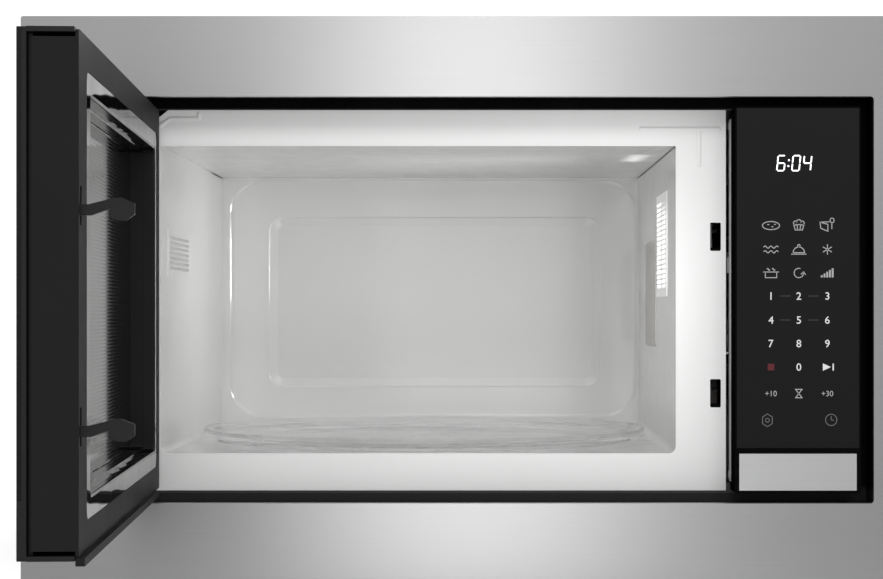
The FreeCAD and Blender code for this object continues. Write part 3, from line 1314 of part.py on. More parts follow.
def waveguide():
    """Sheet-metal channel on the right wall, open to the cavity, with a hole for the antenna."""
    y0 = MICA_Y0 - WG_MARGIN
    y1 = MICA_Y0 + MICA_L + WG_MARGIN
    z0 = MICA_Z0 - WG_MARGIN
    z1 = MICA_Z0 + MICA_H + WG_MARGIN
    s = WG_SHEET
    shape = box(X_WALL, X_MAG, y0, y1, z0, z1)
    shape = shape.cut(box(X_WALL - OVER, X_MAG - s, y0 + s, y1 - s, z0 + s, z1 - s))
    return shape.cut(rod(X_MAG - s - OVER, MAG_Y, MAG_Z, MAG_ANTENNA_R + WG_SHEET, s + OVER + OVER, X_AXIS))


def magnetron():
    """Magnetron: flange and antenna, yoke, finned anode and filter box."""
    x0 = X_MAG
    x1 = x0 + MAG_FLANGE_T
    x2 = x1 + MAG_YOKE_D
    half_y = MAG_FLANGE_Y / 2
    half_z = MAG_FLANGE_Z / 2
    t = MAG_YOKE_T
    flange = box(x0, x1, MAG_Y - half_y, MAG_Y + half_y, MAG_Z - half_z, MAG_Z + half_z)
    yoke = box(x1, x2, MAG_Y - half_y + t, MAG_Y + half_y - t, MAG_Z - half_z + t, MAG_Z + half_z - t)
    yoke = yoke.cut(box(x1 - OVER, x2 - t, MAG_Y - half_y - OVER, MAG_Y + half_y + OVER,
                        MAG_Z - half_z + t + t, MAG_Z + half_z - t - t))
    anode = rod(x0, MAG_Y, MAG_Z, MAG_ANODE_R, x2 - x0, X_AXIS)
    pieces = [flange, yoke, anode]
    for k in range(MAG_FINS):
        x = x1 + MAG_YOKE_D * (k + 1) / (MAG_FINS + 1)
        pieces.append(box(x, x + MAG_FIN_T, MAG_Y - half_y + t, MAG_Y + half_y - t,
                          MAG_Z - half_z + t, MAG_Z + half_z - t))
    half = MAG_FILTER_W / 2
    pieces.append(box(x2, x2 + MAG_FILTER_D, MAG_Y - half, MAG_Y + half, MAG_Z - half, MAG_Z + half))
    pieces.append(rod(x0 - MAG_ANTENNA_L, MAG_Y, MAG_Z, MAG_ANTENNA_R, MAG_ANTENNA_L, X_AXIS))
    return join(pieces)


def hv_transformer():
    """Laminated core on a foot plate with its windings standing out front and back."""
    x0 = X_WALL + TRANSFORMER_IN_X
    y0 = Y_SHELL + TRANSFORMER_IN_Y
    x1 = x0 + TRANSFORMER_X
    y1 = y0 + TRANSFORMER_Y
    z0 = FLOOR_TOP
    core = box(x0, x1, y0, y1, z0, z0 + TRANSFORMER_H)
    foot = box(x0 - TRANSFORMER_FOOT_OUT, x1, y0 - TRANSFORMER_FOOT_OUT, y1 + TRANSFORMER_FOOT_OUT,
               z0, z0 + TRANSFORMER_FOOT_T)
    z_mid = z0 + TRANSFORMER_H / 2
    winding = box(x0 + TRANSFORMER_FOOT_OUT, x1 - TRANSFORMER_FOOT_OUT, y0 - WINDING_OUT, y1 + WINDING_OUT,
                  z_mid - WINDING_H / 2, z_mid + WINDING_H / 2)
    return join([core, foot, rounded(winding, WINDING_R, Z_AXIS)])


CAP_X1 = X_CASE - CASE_SHEET - CASE_SHEET - CAP_IN_X
CAP_Y0 = Y_SHELL + CAP_IN_Y


def hv_capacitor():
    """Oval high-voltage capacitor lying on the base, with two tags."""
    can = box(CAP_X1 - CAP_X, CAP_X1, CAP_Y0, CAP_Y0 + CAP_Y, FLOOR_TOP, FLOOR_TOP + CAP_H)
    can = rounded(can, CAP_R, Y_AXIS)
    tags = []
    for share in (1 / 3, 2 / 3):
        x = CAP_X1 - CAP_X * share
        z = FLOOR_TOP + CAP_H / 2
        tags.append(box(x, x + CAP_TAG_T, CAP_Y0 - CAP_TAG, CAP_Y0 + CAP_TAG,
                        z - CAP_TAG / 2, z + CAP_TAG / 2))
    return join([can] + tags)


def hv_diode():
    """High-voltage diode with an earthing lug on the base."""
    x = CAP_X1 - CAP_X - DIODE_GAP
    lug = box(x - DIODE_R, x + DIODE_R, CAP_Y0, CAP_Y0 + DIODE_LUG + DIODE_R,
              FLOOR_TOP, FLOOR_TOP + DIODE_LUG_T)
    body = rod(x, CAP_Y0 + DIODE_LUG, FLOOR_TOP + DIODE_R, DIODE_R, DIODE_L, Y_AXIS)
    return join([lug, body])


# Cooling and light

Y_SHROUD = Y_REAR - CASE_SHEET - SHROUD_D


def fan_shroud():
    """Square plate on the rear panel with a round throat and three arms to a hub for the motor."""
    x, z = fan_centre()
    y1 = Y_REAR - CASE_SHEET
    half = SHROUD_PLATE / 2
    throat = FAN_R + FAN_TIP_GAP
    plate = box(x - half, x + half, y1 - SHROUD_T, y1, z - half, z + half)
    tube = rod(x, Y_SHROUD, z, throat + SHROUD_WALL, SHROUD_D, Y_AXIS)
    shape = join([plate, tube]).cut(rod(x, Y_SHROUD - OVER, z, throat, SHROUD_D + OVER + OVER, Y_AXIS))
    pieces = [shape, rod(x, Y_SHROUD, z, SHROUD_HUB_R, SHROUD_T, Y_AXIS)]
    for k in range(3):
        arm = box(-SHROUD_ARM_W / 2, SHROUD_ARM_W / 2, Y_SHROUD, Y_SHROUD + SHROUD_T,
                  0, throat + SHROUD_WALL / 2)
        arm.rotate(Vector(0, 0, 0), Y_AXIS, 360 * k / 3)
        arm.translate(Vector(x, 0, z))
        pieces.append(arm)
    bore = rod(x, Y_SHROUD - OVER, z, FAN_SHAFT_R + RUN_CLEAR, SHROUD_T + OVER + OVER, Y_AXIS)
    return join(pieces).cut(bore)


def fan_motor():
    """Shaded-pole motor on the shroud's hub: lamination stack and coil."""
    x, z = fan_centre()
    y0 = Y_SHROUD - FAN_MOTOR_D
    stack = box(x - FAN_MOTOR_W / 2, x + FAN_MOTOR_W / 2, y0, Y_SHROUD,
                z - FAN_MOTOR_H / 2, z + FAN_MOTOR_H / 2)
    stack = rounded(stack, FAN_SHAFT_R, Y_AXIS)
    coil = rod(x - FAN_MOTOR_W / 2, y0 + FAN_MOTOR_D / 2, z - FAN_MOTOR_H / 2,
               FAN_COIL_R, FAN_MOTOR_W, X_AXIS)
    bore = rod(x, Y_SHROUD - FAN_SHAFT_L, z, FAN_SHAFT_R + RUN_CLEAR, FAN_SHAFT_L + OVER, Y_AXIS)
    return join([stack, coil]).cut(bore)


def fan_impeller():
    """Axial impeller: hub, pitched blades and its shaft into the motor."""
    x, z = fan_centre()
    y0 = Y_SHROUD + SHROUD_T + FAN_FACE_GAP
    hub = rod(0, y0, 0, FAN_HUB_R, FAN_HUB_L, Y_AXIS)
    shaft_l = FAN_SHAFT_L / 2 + SHROUD_T + FAN_FACE_GAP + OVER
    shaft = rod(0, Y_SHROUD - FAN_SHAFT_L / 2, 0, FAN_SHAFT_R, shaft_l, Y_AXIS)
    y_mid = y0 + FAN_HUB_L / 2
    rim = rod(0, y0, 0, FAN_R, FAN_HUB_L, Y_AXIS)
    pieces = [hub, shaft]
    for k in range(FAN_BLADES):
        blade = box(-FAN_BLADE_T / 2, FAN_BLADE_T / 2, y_mid - FAN_BLADE_CHORD / 2,
                    y_mid + FAN_BLADE_CHORD / 2, FAN_HUB_R / 2, FAN_R + OVER)
        blade.rotate(Vector(0, y_mid, 0), Z_AXIS, FAN_BLADE_DEG)
        blade.rotate(Vector(0, 0, 0), Y_AXIS, 360 * k / FAN_BLADES)
        pieces.append(blade.common(rim))
    shape = join(pieces)
    shape.translate(Vector(x, 0, z))
    return shape


LAMP_Y = LAMP_Y0 + LAMP_L / 2
LAMP_Z = LAMP_Z0 + LAMP_H / 2
X_LAMP_BOX = X_WALL + LAMP_BOX_D


def lamp_housing():
    """Sheet box on the right wall round the lamp, open to the cavity and to the fan's air at the rear."""
    out = LAMP_BOX_OUT
    s = CAV_SHEET
    y0 = LAMP_Y0 - out
    y1 = LAMP_Y0 + LAMP_L + out
    z0 = LAMP_Z0 - out
    z1 = LAMP_Z0 + LAMP_H + out
    shape = box(X_WALL, X_LAMP_BOX, y0, y1, z0, z1)
    shape = shape.cut(box(X_WALL - OVER, X_LAMP_BOX - s, y0 + s, y1 - s, z0 + s, z1 - s))
    shape = shape.cut(rod(X_LAMP_BOX - s - OVER, LAMP_Y, LAMP_Z, LAMP_SOCKET_R, s + OVER + OVER, X_AXIS))
    inlet = box(X_WALL + LAMP_BOX_D / 4, X_LAMP_BOX - LAMP_BOX_D / 4, y1 - s - OVER, y1 + OVER,
                LAMP_Z - LAMP_H / 4, LAMP_Z + LAMP_H / 4)
    return shape.cut(inlet)


def lamp_socket():
    """Lamp socket pushed through the housing, with a flange on the outside and a bore for the lamp's neck."""
    x0 = X_LAMP_BOX - CAV_SHEET
    barrel = rod(x0, LAMP_Y, LAMP_Z, LAMP_SOCKET_R - SCREW_CLEAR, LAMP_SOCKET_L, X_AXIS)
    flange = rod(X_LAMP_BOX, LAMP_Y, LAMP_Z, LAMP_SOCKET_R + LAMP_SOCKET_T, LAMP_SOCKET_T, X_AXIS)
    bore = rod(x0 - OVER, LAMP_Y, LAMP_Z, LAMP_NECK_R, LAMP_NECK_L / 2 + OVER, X_AXIS)
    return join([barrel, flange]).cut(bore)


def cavity_lamp():
    """Small bulb with its neck in the socket."""
    x0 = X_LAMP_BOX - CAV_SHEET
    x1 = x0 - LAMP_NECK_L
    outline = [(x0 + LAMP_NECK_L / 2, 0), (x0 + LAMP_NECK_L / 2, LAMP_NECK_R), (x1, LAMP_NECK_R)]
    outline += [(x1 - along * LAMP_BULB_R, out * LAMP_BULB_R) for along, out in LAMP_BULB_SHARES]
    points = [Vector(x, LAMP_Y, LAMP_Z + r) for x, r in outline]
    face = Part.Face(Part.makePolygon(points + points[:1]))
    return face.revolve(Vector(x0, LAMP_Y, LAMP_Z), X_AXIS, 360)


def noise_filter():
    """Mains filter board on posts on the rear panel, with its choke and capacitor."""
    x, z = fan_centre()
    y1 = Y_REAR - CASE_SHEET
    yb = y1 - FILTER_STAND
    z0 = z + FILTER_UP - FILTER_H / 2
    board = box(x - FILTER_W / 2, x + FILTER_W / 2, yb - PCB_T, yb, z0, z0 + FILTER_H)
    pieces = [board]
    for px in (x - FILTER_W / 2 + PCB_BOSS_IN, x + FILTER_W / 2 - PCB_BOSS_IN):
        pieces.append(rod(px, yb, z0 + FILTER_H / 2, FILTER_POST_R, FILTER_STAND, Y_AXIS))
        pieces.append(rod(px, yb - PCB_T - FILTER_COIL_L, z0 + FILTER_H / 2, FILTER_COIL_R,
                          FILTER_COIL_L, Y_AXIS))
    return join(pieces)


def cord_gland():
    """Bush in the rear panel where the mains lead would enter."""
    x = X_CASE - GLAND_X_IN
    z = Z_BASE + GLAND_UP
    neck = rod(x, Y_REAR - CASE_SHEET - GLAND_FLANGE_T, z, GLAND_R - SCREW_CLEAR,
               CASE_SHEET + GLAND_FLANGE_T, Y_AXIS)
    flange = rod(x, Y_REAR, z, GLAND_FLANGE_R, GLAND_FLANGE_T, Y_AXIS)
    bore = rod(x, Y_REAR - CASE_SHEET - GLAND_FLANGE_T - OVER, z, GLAND_BORE_R,
               CASE_SHEET + GLAND_FLANGE_T + GLAND_FLANGE_T + OVER + OVER, Y_AXIS)
    return join([neck, flange]).cut(bore)


PIECES = {
    "trim_frame": trim_frame(),
    "trim_liner": trim_liner(),
    "trim_bracket_left": trim_bracket(-1),
    "trim_bracket_right": trim_bracket(1),
    "trim_clips": trim_clips(),
    "bracket_screws": bracket_screws(),
    "outer_casing": outer_casing(),
    "base_plate": base_plate(),
    "rear_panel": rear_panel(),
    "casing_screws": casing_screws(),
    "feet": feet(),
    "front_plate": front_plate(),
    "cavity_shell": cavity_shell(),
    "cavity_ceiling": cavity_ceiling(),
    "cavity_back": cavity_back(),
    "waveguide_cover": waveguide_cover(),
    "lamp_screen": lamp_screen(),
    "vent_screen": vent_screen(),
    "glass_tray": glass_tray(),
    "turntable_coupler": turntable_coupler(),
    "turntable_motor": turntable_motor(),
    "roller_ring": roller_ring(),
    "hinge_upper": hinge(1),
    "hinge_lower": hinge(-1),
    "door_front_frame": door_front_frame(),
    "door_glass": door_glass(),
    "door_strip": door_strip(),
    "door_frame": door_frame(),
    "door_screen": door_screen(),
    "door_bezel": door_bezel(),
    "door_inner_panel": door_inner_panel(),
    "door_latch": door_latch(),
    "latch_spring": latch_spring(),
    "latch_board": latch_board(),
    "release_slider": release_slider(),
    "release_solenoid": release_solenoid(),
    "interlock_switches": interlock_switches(),
    "control_housing": control_housing(),
    "control_glass": control_glass(),
    "touch_sensor": touch_sensor(),
    "control_strip": control_strip(),
    "control_board": control_board(),
    "display_module": display_module(),
    "panel_bracket": panel_bracket(),
    "waveguide": waveguide(),
    "magnetron": magnetron(),
    "hv_transformer": hv_transformer(),
    "hv_capacitor": hv_capacitor(),
    "hv_diode": hv_diode(),
    "fan_shroud": fan_shroud(),
    "fan_motor": fan_motor(),
    "fan_impeller": fan_impeller(),
    "lamp_housing": lamp_housing(),
    "lamp_socket": lamp_socket(),
    "cavity_lamp": cavity_lamp(),
    "noise_filter": noise_filter(),
    "cord_gland": cord_gland(),
}
for number in range(3):
    PIECES["roller_wheel_%d" % (number + 1)] = roller_wheel(number)

os.makedirs("parts", exist_ok=True)
for name, shape in PIECES.items():
    shape.exportStep("parts/%s.step" % name)
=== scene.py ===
"""Looks of a built-in microwave in a stainless trim kit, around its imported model.

Metres, in the model's own frame: X to the right, Y into the cabinet, Z up.
"""

import json
import math

import bpy
import numpy as np
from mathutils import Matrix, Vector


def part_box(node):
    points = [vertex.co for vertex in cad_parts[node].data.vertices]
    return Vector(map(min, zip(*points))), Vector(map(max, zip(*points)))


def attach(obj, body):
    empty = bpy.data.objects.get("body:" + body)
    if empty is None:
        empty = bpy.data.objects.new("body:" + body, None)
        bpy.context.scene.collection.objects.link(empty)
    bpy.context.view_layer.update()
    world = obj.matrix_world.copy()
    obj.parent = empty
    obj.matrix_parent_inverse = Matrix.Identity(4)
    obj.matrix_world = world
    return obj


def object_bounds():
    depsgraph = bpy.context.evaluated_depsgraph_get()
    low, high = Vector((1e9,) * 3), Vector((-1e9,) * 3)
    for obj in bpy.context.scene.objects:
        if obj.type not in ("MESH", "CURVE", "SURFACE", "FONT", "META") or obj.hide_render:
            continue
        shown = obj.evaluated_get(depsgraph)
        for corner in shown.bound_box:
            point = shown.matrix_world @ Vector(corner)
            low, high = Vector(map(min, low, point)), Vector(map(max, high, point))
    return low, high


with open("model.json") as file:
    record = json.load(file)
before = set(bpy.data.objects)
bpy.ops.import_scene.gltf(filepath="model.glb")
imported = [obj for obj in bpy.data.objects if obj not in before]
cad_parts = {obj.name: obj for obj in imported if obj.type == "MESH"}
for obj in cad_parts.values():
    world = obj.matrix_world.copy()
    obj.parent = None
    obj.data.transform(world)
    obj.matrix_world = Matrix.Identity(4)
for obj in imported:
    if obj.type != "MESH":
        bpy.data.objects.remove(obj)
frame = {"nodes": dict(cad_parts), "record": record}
nodes = frame["nodes"]
cad_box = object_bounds()

MM = 0.001

# The camera, fitted to the photograph's vanishing point
CAMERA_PLACE = (-7.4 * MM, -1710.0 * MM, -9.8 * MM)
LENS = 85.05
SENSOR = 36.0
SHIFT = (-0.0436, 0.0255)

# The door is stored open, so a pattern laid out on the shut door is turned by this angle about the pins
OPEN_ANGLE = math.radians(86.6)
HINGE_PIN = (-293.0 * MM, -2.0 * MM)

# The floor of the dish in the door's lining, on the shut door, and the pitch of the screen behind it
DISH_MIDDLE = (-65.0 * MM, 0.0)
DISH_HALF = (203.0 * MM, 120.0 * MM)
DISH_EDGE = 1.0 * MM
SCREEN_PITCH = 2.6 * MM

# Roughness that the dish's hinge side adds, and the facings at which a wall is all that side and none of it
MATT_WALL = 0.45
HINGE_SIDE = (-0.9, -0.5)

# A wave texture of scale 1 runs through this many radians in a metre
WAVE_RATE = 20.0

# Moulded waves on the lining's rim: how many in a metre, and their depth
RIM_WAVES = 18.0
RIM_WAVE_DEPTH = 1.0 * MM

# The part of the lamp screen with the bulb right behind it, in Y and Z, and how much of the glow in its holes
# the flat face gives off: emission painted on the screen for the bulb's light falling on it
BULB_MIDDLE = (132.0 * MM, 46.0 * MM)
BULB_HALF = (20.0 * MM, 34.0 * MM)
BULB_EDGE = 6.0 * MM
FACE_GLOW = 0.14

# Where a sheet goes from its first colour to its second: the liner's foot in Z, whose lighter black is a
# painted sheen, and the panel bracket's side in X, whose black edge is painted shade in the gap
LINER_SHEEN_CHANGE = (-158.0 * MM, -154.0 * MM)
BRACKET_SHADE_CHANGE = (199.6 * MM, 199.9 * MM)


# Node helpers

def new_finish(name):
    """An empty material with one principled shader; gives the material, its tree and the shader."""
    material = bpy.data.materials.new(name)
    material.use_nodes = True
    tree = material.node_tree
    tree.nodes.clear()
    end = tree.nodes.new("ShaderNodeOutputMaterial")
    shader = tree.nodes.new("ShaderNodeBsdfPrincipled")
    tree.links.new(shader.outputs["BSDF"], end.inputs["Surface"])
    return material, tree, shader


def place_on_piece(tree, stretch=(1.0, 1.0, 1.0), turn=(0.0, 0.0, 0.0), shift=(0.0, 0.0, 0.0)):
    """Object coordinates, stretched, turned and shifted by one mapping node."""
    coords = tree.nodes.new("ShaderNodeTexCoord")
    mapping = tree.nodes.new("ShaderNodeMapping")
    mapping.inputs["Scale"].default_value = stretch
    mapping.inputs["Rotation"].default_value = turn
    mapping.inputs["Location"].default_value = shift
    tree.links.new(coords.outputs["Object"], mapping.inputs["Vector"])
    return mapping.outputs["Vector"]


def noise(tree, vector, scale, detail=3.0, roughness=0.55):
    """Fractal noise from 0 to 1 over a vector."""
    node = tree.nodes.new("ShaderNodeTexNoise")
    node.inputs["Scale"].default_value = scale
    node.inputs["Detail"].default_value = detail
    node.inputs["Roughness"].default_value = roughness
    tree.links.new(vector, node.inputs["Vector"])
    return node.outputs["Fac"]


def cells(tree, vector, scale, output="Color"):
    """Voronoi cells over a vector."""
    node = tree.nodes.new("ShaderNodeTexVoronoi")
    node.inputs["Scale"].default_value = scale
    tree.links.new(vector, node.inputs["Vector"])
    return node.outputs[output]


def span(tree, value, low, high, start=0.0, end=1.0):
    """A value carried from start..end to low..high."""
    node = tree.nodes.new("ShaderNodeMapRange")
    node.inputs["From Min"].default_value = start
    node.inputs["From Max"].default_value = end
    node.inputs["To Min"].default_value = low
    node.inputs["To Max"].default_value = high
    tree.links.new(value, node.inputs["Value"])
    return node.outputs["Result"]


def shades(tree, value, low, high):
    """A colour between two colours, by a value from 0 to 1."""
    node = tree.nodes.new("ShaderNodeMix")
    node.data_type = "RGBA"
    node.inputs["A"].default_value = (*low, 1.0)
    node.inputs["B"].default_value = (*high, 1.0)
    tree.links.new(value, node.inputs["Factor"])
    return node.outputs["Result"]


def sums(tree, operation, first, second):
    """One arithmetic step between sockets or numbers."""
    node = tree.nodes.new("ShaderNodeMath")
    node.operation = operation
    for socket, value in zip(node.inputs, (first, second)):
        if isinstance(value, (int, float)):
            socket.default_value = value
        else:
            tree.links.new(value, socket)
    return node.outputs["Value"]


def relief(tree, shader, height, depth, strength=1.0):
    """Bump from a height of 0 to 1 that stands for a depth in metres, laid over any bump already there."""
    node = tree.nodes.new("ShaderNodeBump")
    node.inputs["Strength"].default_value = strength
    node.inputs["Distance"].default_value = depth
    tree.links.new(height, node.inputs["Height"])
    for link in shader.inputs["Normal"].links:
        tree.links.new(link.from_socket, node.inputs["Normal"])
    tree.links.new(node.outputs["Normal"], shader.inputs["Normal"])


def facing(tree, axis):
    """How far a face points along an axis of its piece, from -1 to 1."""
    parts = tree.nodes.new("ShaderNodeSeparateXYZ")
    tree.links.new(tree.nodes.new("ShaderNodeTexCoord").outputs["Normal"], parts.inputs["Vector"])
    return parts.outputs[axis]


def tint(colour, factor):
    """A colour made lighter or darker."""
    return tuple(channel * factor for channel in colour)


# Finishes

def brushed_steel(name, colour, rough=0.34):
    """Sheet brushed along X: long streaks in shade and height, and a highlight drawn out across them."""
    material, tree, shader = new_finish(name)
    streaks = noise(tree, place_on_piece(tree, (7.0, 900.0, 1300.0)), 1.0, 4.0, 0.7)
    clouds = noise(tree, place_on_piece(tree, (3.0, 5.0, 9.0)), 1.0, 2.0)
    blend = sums(tree, "ADD", sums(tree, "MULTIPLY", streaks, 0.7), sums(tree, "MULTIPLY", clouds, 0.3))
    tree.links.new(shades(tree, blend, tint(colour, 0.9), tint(colour, 1.1)), shader.inputs["Base Color"])
    tree.links.new(span(tree, streaks, rough - 0.05, rough + 0.05), shader.inputs["Roughness"])
    shader.inputs["Metallic"].default_value = 1.0
    shader.inputs["Anisotropic"].default_value = 0.7
    across = tree.nodes.new("ShaderNodeCombineXYZ")
    across.inputs["Y"].default_value = 0.35
    across.inputs["Z"].default_value = 1.0
    tree.links.new(across.outputs["Vector"], shader.inputs["Tangent"])
    relief(tree, shader, streaks, 0.02 * MM, 0.35)
    return material


def coated_sheet(name, colour, rough, peel=0.02 * MM, wear=0.04):
    """Painted or enamelled sheet: slight clouding, uneven gloss and the ripple of a sprayed coat."""
    material, tree, shader = new_finish(name)
    clouds = noise(tree, place_on_piece(tree), 9.0, 3.0)
    tree.links.new(shades(tree, clouds, tint(colour, 1.0 - wear), tint(colour, 1.0 + wear)),
                   shader.inputs["Base Color"])
    tree.links.new(span(tree, noise(tree, place_on_piece(tree), 60.0, 2.0), rough - 0.04, rough + 0.04),
                   shader.inputs["Roughness"])
    relief(tree, shader, noise(tree, place_on_piece(tree), 420.0, 1.0), peel, 0.5)
    return material


def moulded_plastic(name, colour, rough, pitch=1400.0, depth=0.03 * MM, gloss=0.5):
    """Moulded plastic with a fine spark-eroded grain."""
    material, tree, shader = new_finish(name)
    grain = cells(tree, place_on_piece(tree), pitch, output="Distance")
    haze = noise(tree, place_on_piece(tree), 14.0, 3.0)
    tree.links.new(shades(tree, haze, tint(colour, 0.88), tint(colour, 1.12)), shader.inputs["Base Color"])
    tree.links.new(span(tree, haze, rough - 0.05, rough + 0.05), shader.inputs["Roughness"])
    shader.inputs["Specular IOR Level"].default_value = gloss
    relief(tree, shader, grain, depth, 0.4)
    return material


def polished_black(name, colour, rough, gloss):
    """Back-printed black glass: a faint haze in its gloss and the long waves of its face."""
    material, tree, shader = new_finish(name)
    haze = noise(tree, place_on_piece(tree), 22.0, 4.0)
    tree.links.new(shades(tree, haze, tint(colour, 0.9), tint(colour, 1.1)), shader.inputs["Base Color"])
    tree.links.new(span(tree, haze, rough * 0.7, rough * 1.3), shader.inputs["Roughness"])
    shader.inputs["Specular IOR Level"].default_value = gloss
    relief(tree, shader, noise(tree, place_on_piece(tree), 6.0, 1.0), 0.06 * MM, 0.25)
    return material


def painted_light_change(name, first, second, axis, start, end, rough, gloss):
    """Sheet whose colour goes from one to another between two places along an axis: painted light and shade
    on one part of it.
    """
    material, tree, shader = new_finish(name)
    place = place_on_piece(tree)
    parts = tree.nodes.new("ShaderNodeSeparateXYZ")
    tree.links.new(place, parts.inputs["Vector"])
    haze = noise(tree, place, 22.0, 4.0)
    change = span(tree, parts.outputs[axis], 0.0, 1.0, start, end)
    share = sums(tree, "MULTIPLY", change, span(tree, haze, 0.85, 1.1))
    tree.links.new(shades(tree, share, first, second), shader.inputs["Base Color"])
    tree.links.new(span(tree, haze, rough - 0.05, rough + 0.05), shader.inputs["Roughness"])
    shader.inputs["Specular IOR Level"].default_value = gloss
    relief(tree, shader, haze, 0.02 * MM, 0.2)
    return material


def zinc_sheet(name, colour):
    """Galvanised sheet with its flower of crystals."""
    material, tree, shader = new_finish(name)
    flower = cells(tree, place_on_piece(tree), 110.0)
    grey = tree.nodes.new("ShaderNodeRGBToBW")
    tree.links.new(flower, grey.inputs["Color"])
    tree.links.new(shades(tree, grey.outputs["Val"], tint(colour, 0.85), tint(colour, 1.12)),
                   shader.inputs["Base Color"])
    tree.links.new(span(tree, grey.outputs["Val"], 0.34, 0.5), shader.inputs["Roughness"])
    shader.inputs["Metallic"].default_value = 0.85
    relief(tree, shader, noise(tree, place_on_piece(tree), 160.0, 2.0), 0.03 * MM, 0.3)
    return material


def bare_metal(name, colour, rough, pitch=260.0):
    """Plain metal with light scratches and spots of uneven polish."""
    material, tree, shader = new_finish(name)
    spots = noise(tree, place_on_piece(tree), pitch, 3.0)
    tree.links.new(shades(tree, spots, tint(colour, 0.85), tint(colour, 1.1)), shader.inputs["Base Color"])
    tree.links.new(span(tree, spots, rough - 0.08, rough + 0.08), shader.inputs["Roughness"])
    shader.inputs["Metallic"].default_value = 1.0
    relief(tree, shader, spots, 0.02 * MM, 0.3)
    return material


def clear_glass(name, colour, ripple, bend, body):
    """Clear pressed glass with faint ripples; bend is its index of refraction, body how much of it shows."""
    material, tree, shader = new_finish(name)
    waves = noise(tree, place_on_piece(tree), ripple, 2.0)
    tree.links.new(shades(tree, waves, tint(colour, 0.98), colour), shader.inputs["Base Color"])
    tree.links.new(span(tree, waves, 0.0, 0.03), shader.inputs["Roughness"])
    shader.inputs["Transmission Weight"].default_value = 1.0
    shader.inputs["Alpha"].default_value = body
    shader.inputs["IOR"].default_value = bend
    relief(tree, shader, waves, 0.01 * MM, 0.05)
    return material


def mica_sheet(name, colour):
    """Pressed mica: overlapping flakes in shade and height."""
    material, tree, shader = new_finish(name)
    flakes = tree.nodes.new("ShaderNodeRGBToBW")
    tree.links.new(cells(tree, place_on_piece(tree, (1.0, 1.0, 1.6)), 170.0), flakes.inputs["Color"])
    tree.links.new(shades(tree, flakes.outputs["Val"], tint(colour, 0.9), tint(colour, 1.08)),
                   shader.inputs["Base Color"])
    tree.links.new(span(tree, flakes.outputs["Val"], 0.3, 0.5), shader.inputs["Roughness"])
    relief(tree, shader, flakes.outputs["Val"], 0.05 * MM, 0.4)
    return material


def board_laminate(name, colour):
    """Circuit board: solder mask over a weave, with a faint track pattern."""
    material, tree, shader = new_finish(name)
    tracks = tree.nodes.new("ShaderNodeTexBrick")
    tracks.inputs["Scale"].default_value = 160.0
    tracks.inputs["Color1"].default_value = (*colour, 1.0)
    tracks.inputs["Color2"].default_value = (*tint(colour, 1.5), 1.0)
    tracks.inputs["Mortar"].default_value = (*tint(colour, 0.6), 1.0)
    tree.links.new(place_on_piece(tree), tracks.inputs["Vector"])
    tree.links.new(tracks.outputs["Color"], shader.inputs["Base Color"])
    shader.inputs["Roughness"].default_value = 0.4
    relief(tree, shader, tracks.outputs["Fac"], 0.04 * MM, 0.4)
    return material


def on_shut_door(tree):
    """Object coordinates turned back about the hinge pins, so that they read as on the shut door."""
    c, s = math.cos(OPEN_ANGLE), math.sin(OPEN_ANGLE)
    px, py = HINGE_PIN
    shift = (px - (c * px - s * py), py - (s * px + c * py), 0.0)
    return place_on_piece(tree, turn=(0.0, 0.0, OPEN_ANGLE), shift=shift)


def inside(tree, vector, middle, half, edge, axes="XZ"):
    """1 inside a rectangle in two axes and 0 outside it, over a soft edge."""
    parts = tree.nodes.new("ShaderNodeSeparateXYZ")
    tree.links.new(vector, parts.inputs["Vector"])
    masks = []
    for axis, centre, reach in zip(axes, middle, half):
        off = sums(tree, "ABSOLUTE", sums(tree, "SUBTRACT", parts.outputs[axis], centre), 0.0)
        masks.append(span(tree, off, 1.0, 0.0, reach - edge, reach + edge))
    return sums(tree, "MULTIPLY", *masks)


def door_dish(name, colour):
    """Glossy black door lining: a wavy rim, and a dish with rows of screen holes and a matt hinge side."""
    material, tree, shader = new_finish(name)
    shut = on_shut_door(tree)
    window = inside(tree, shut, DISH_MIDDLE, DISH_HALF, DISH_EDGE)
    rows = tree.nodes.new("ShaderNodeTexWave")
    rows.bands_direction = "Z"
    rows.inputs["Scale"].default_value = 2.0 * math.pi / (WAVE_RATE * SCREEN_PITCH)
    tree.links.new(shut, rows.inputs["Vector"])
    dots = sums(tree, "MULTIPLY", window, rows.outputs["Fac"])
    tree.links.new(shades(tree, dots, colour, tint(colour, 1.4)), shader.inputs["Base Color"])
    haze = noise(tree, shut, 22.0, 4.0)
    gloss = sums(tree, "ADD", span(tree, haze, 0.03, 0.07), sums(tree, "MULTIPLY", dots, 0.06))
    hinge_side = span(tree, facing(tree, "Y"), MATT_WALL, 0.0, *HINGE_SIDE)
    tree.links.new(sums(tree, "ADD", gloss, hinge_side), shader.inputs["Roughness"])
    shader.inputs["Specular IOR Level"].default_value = 0.36
    rim = span(tree, window, 1.0, 0.0)
    relief(tree, shader, sums(tree, "MULTIPLY", rim, noise(tree, shut, RIM_WAVES, 1.0)), RIM_WAVE_DEPTH)
    relief(tree, shader, dots, 0.04 * MM, 0.12)
    return material


def lamp_glow(name, colour, strength):
    """Lit glass: emission with a slight mottle."""
    material, tree, shader = new_finish(name)
    mottle = noise(tree, place_on_piece(tree), 40.0, 2.0)
    tree.links.new(shades(tree, mottle, tint(colour, 0.9), colour), shader.inputs["Base Color"])
    tree.links.new(shades(tree, mottle, tint(colour, 0.92), colour), shader.inputs["Emission Color"])
    shader.inputs["Emission Strength"].default_value = strength
    shader.inputs["Roughness"].default_value = 0.35
    return material


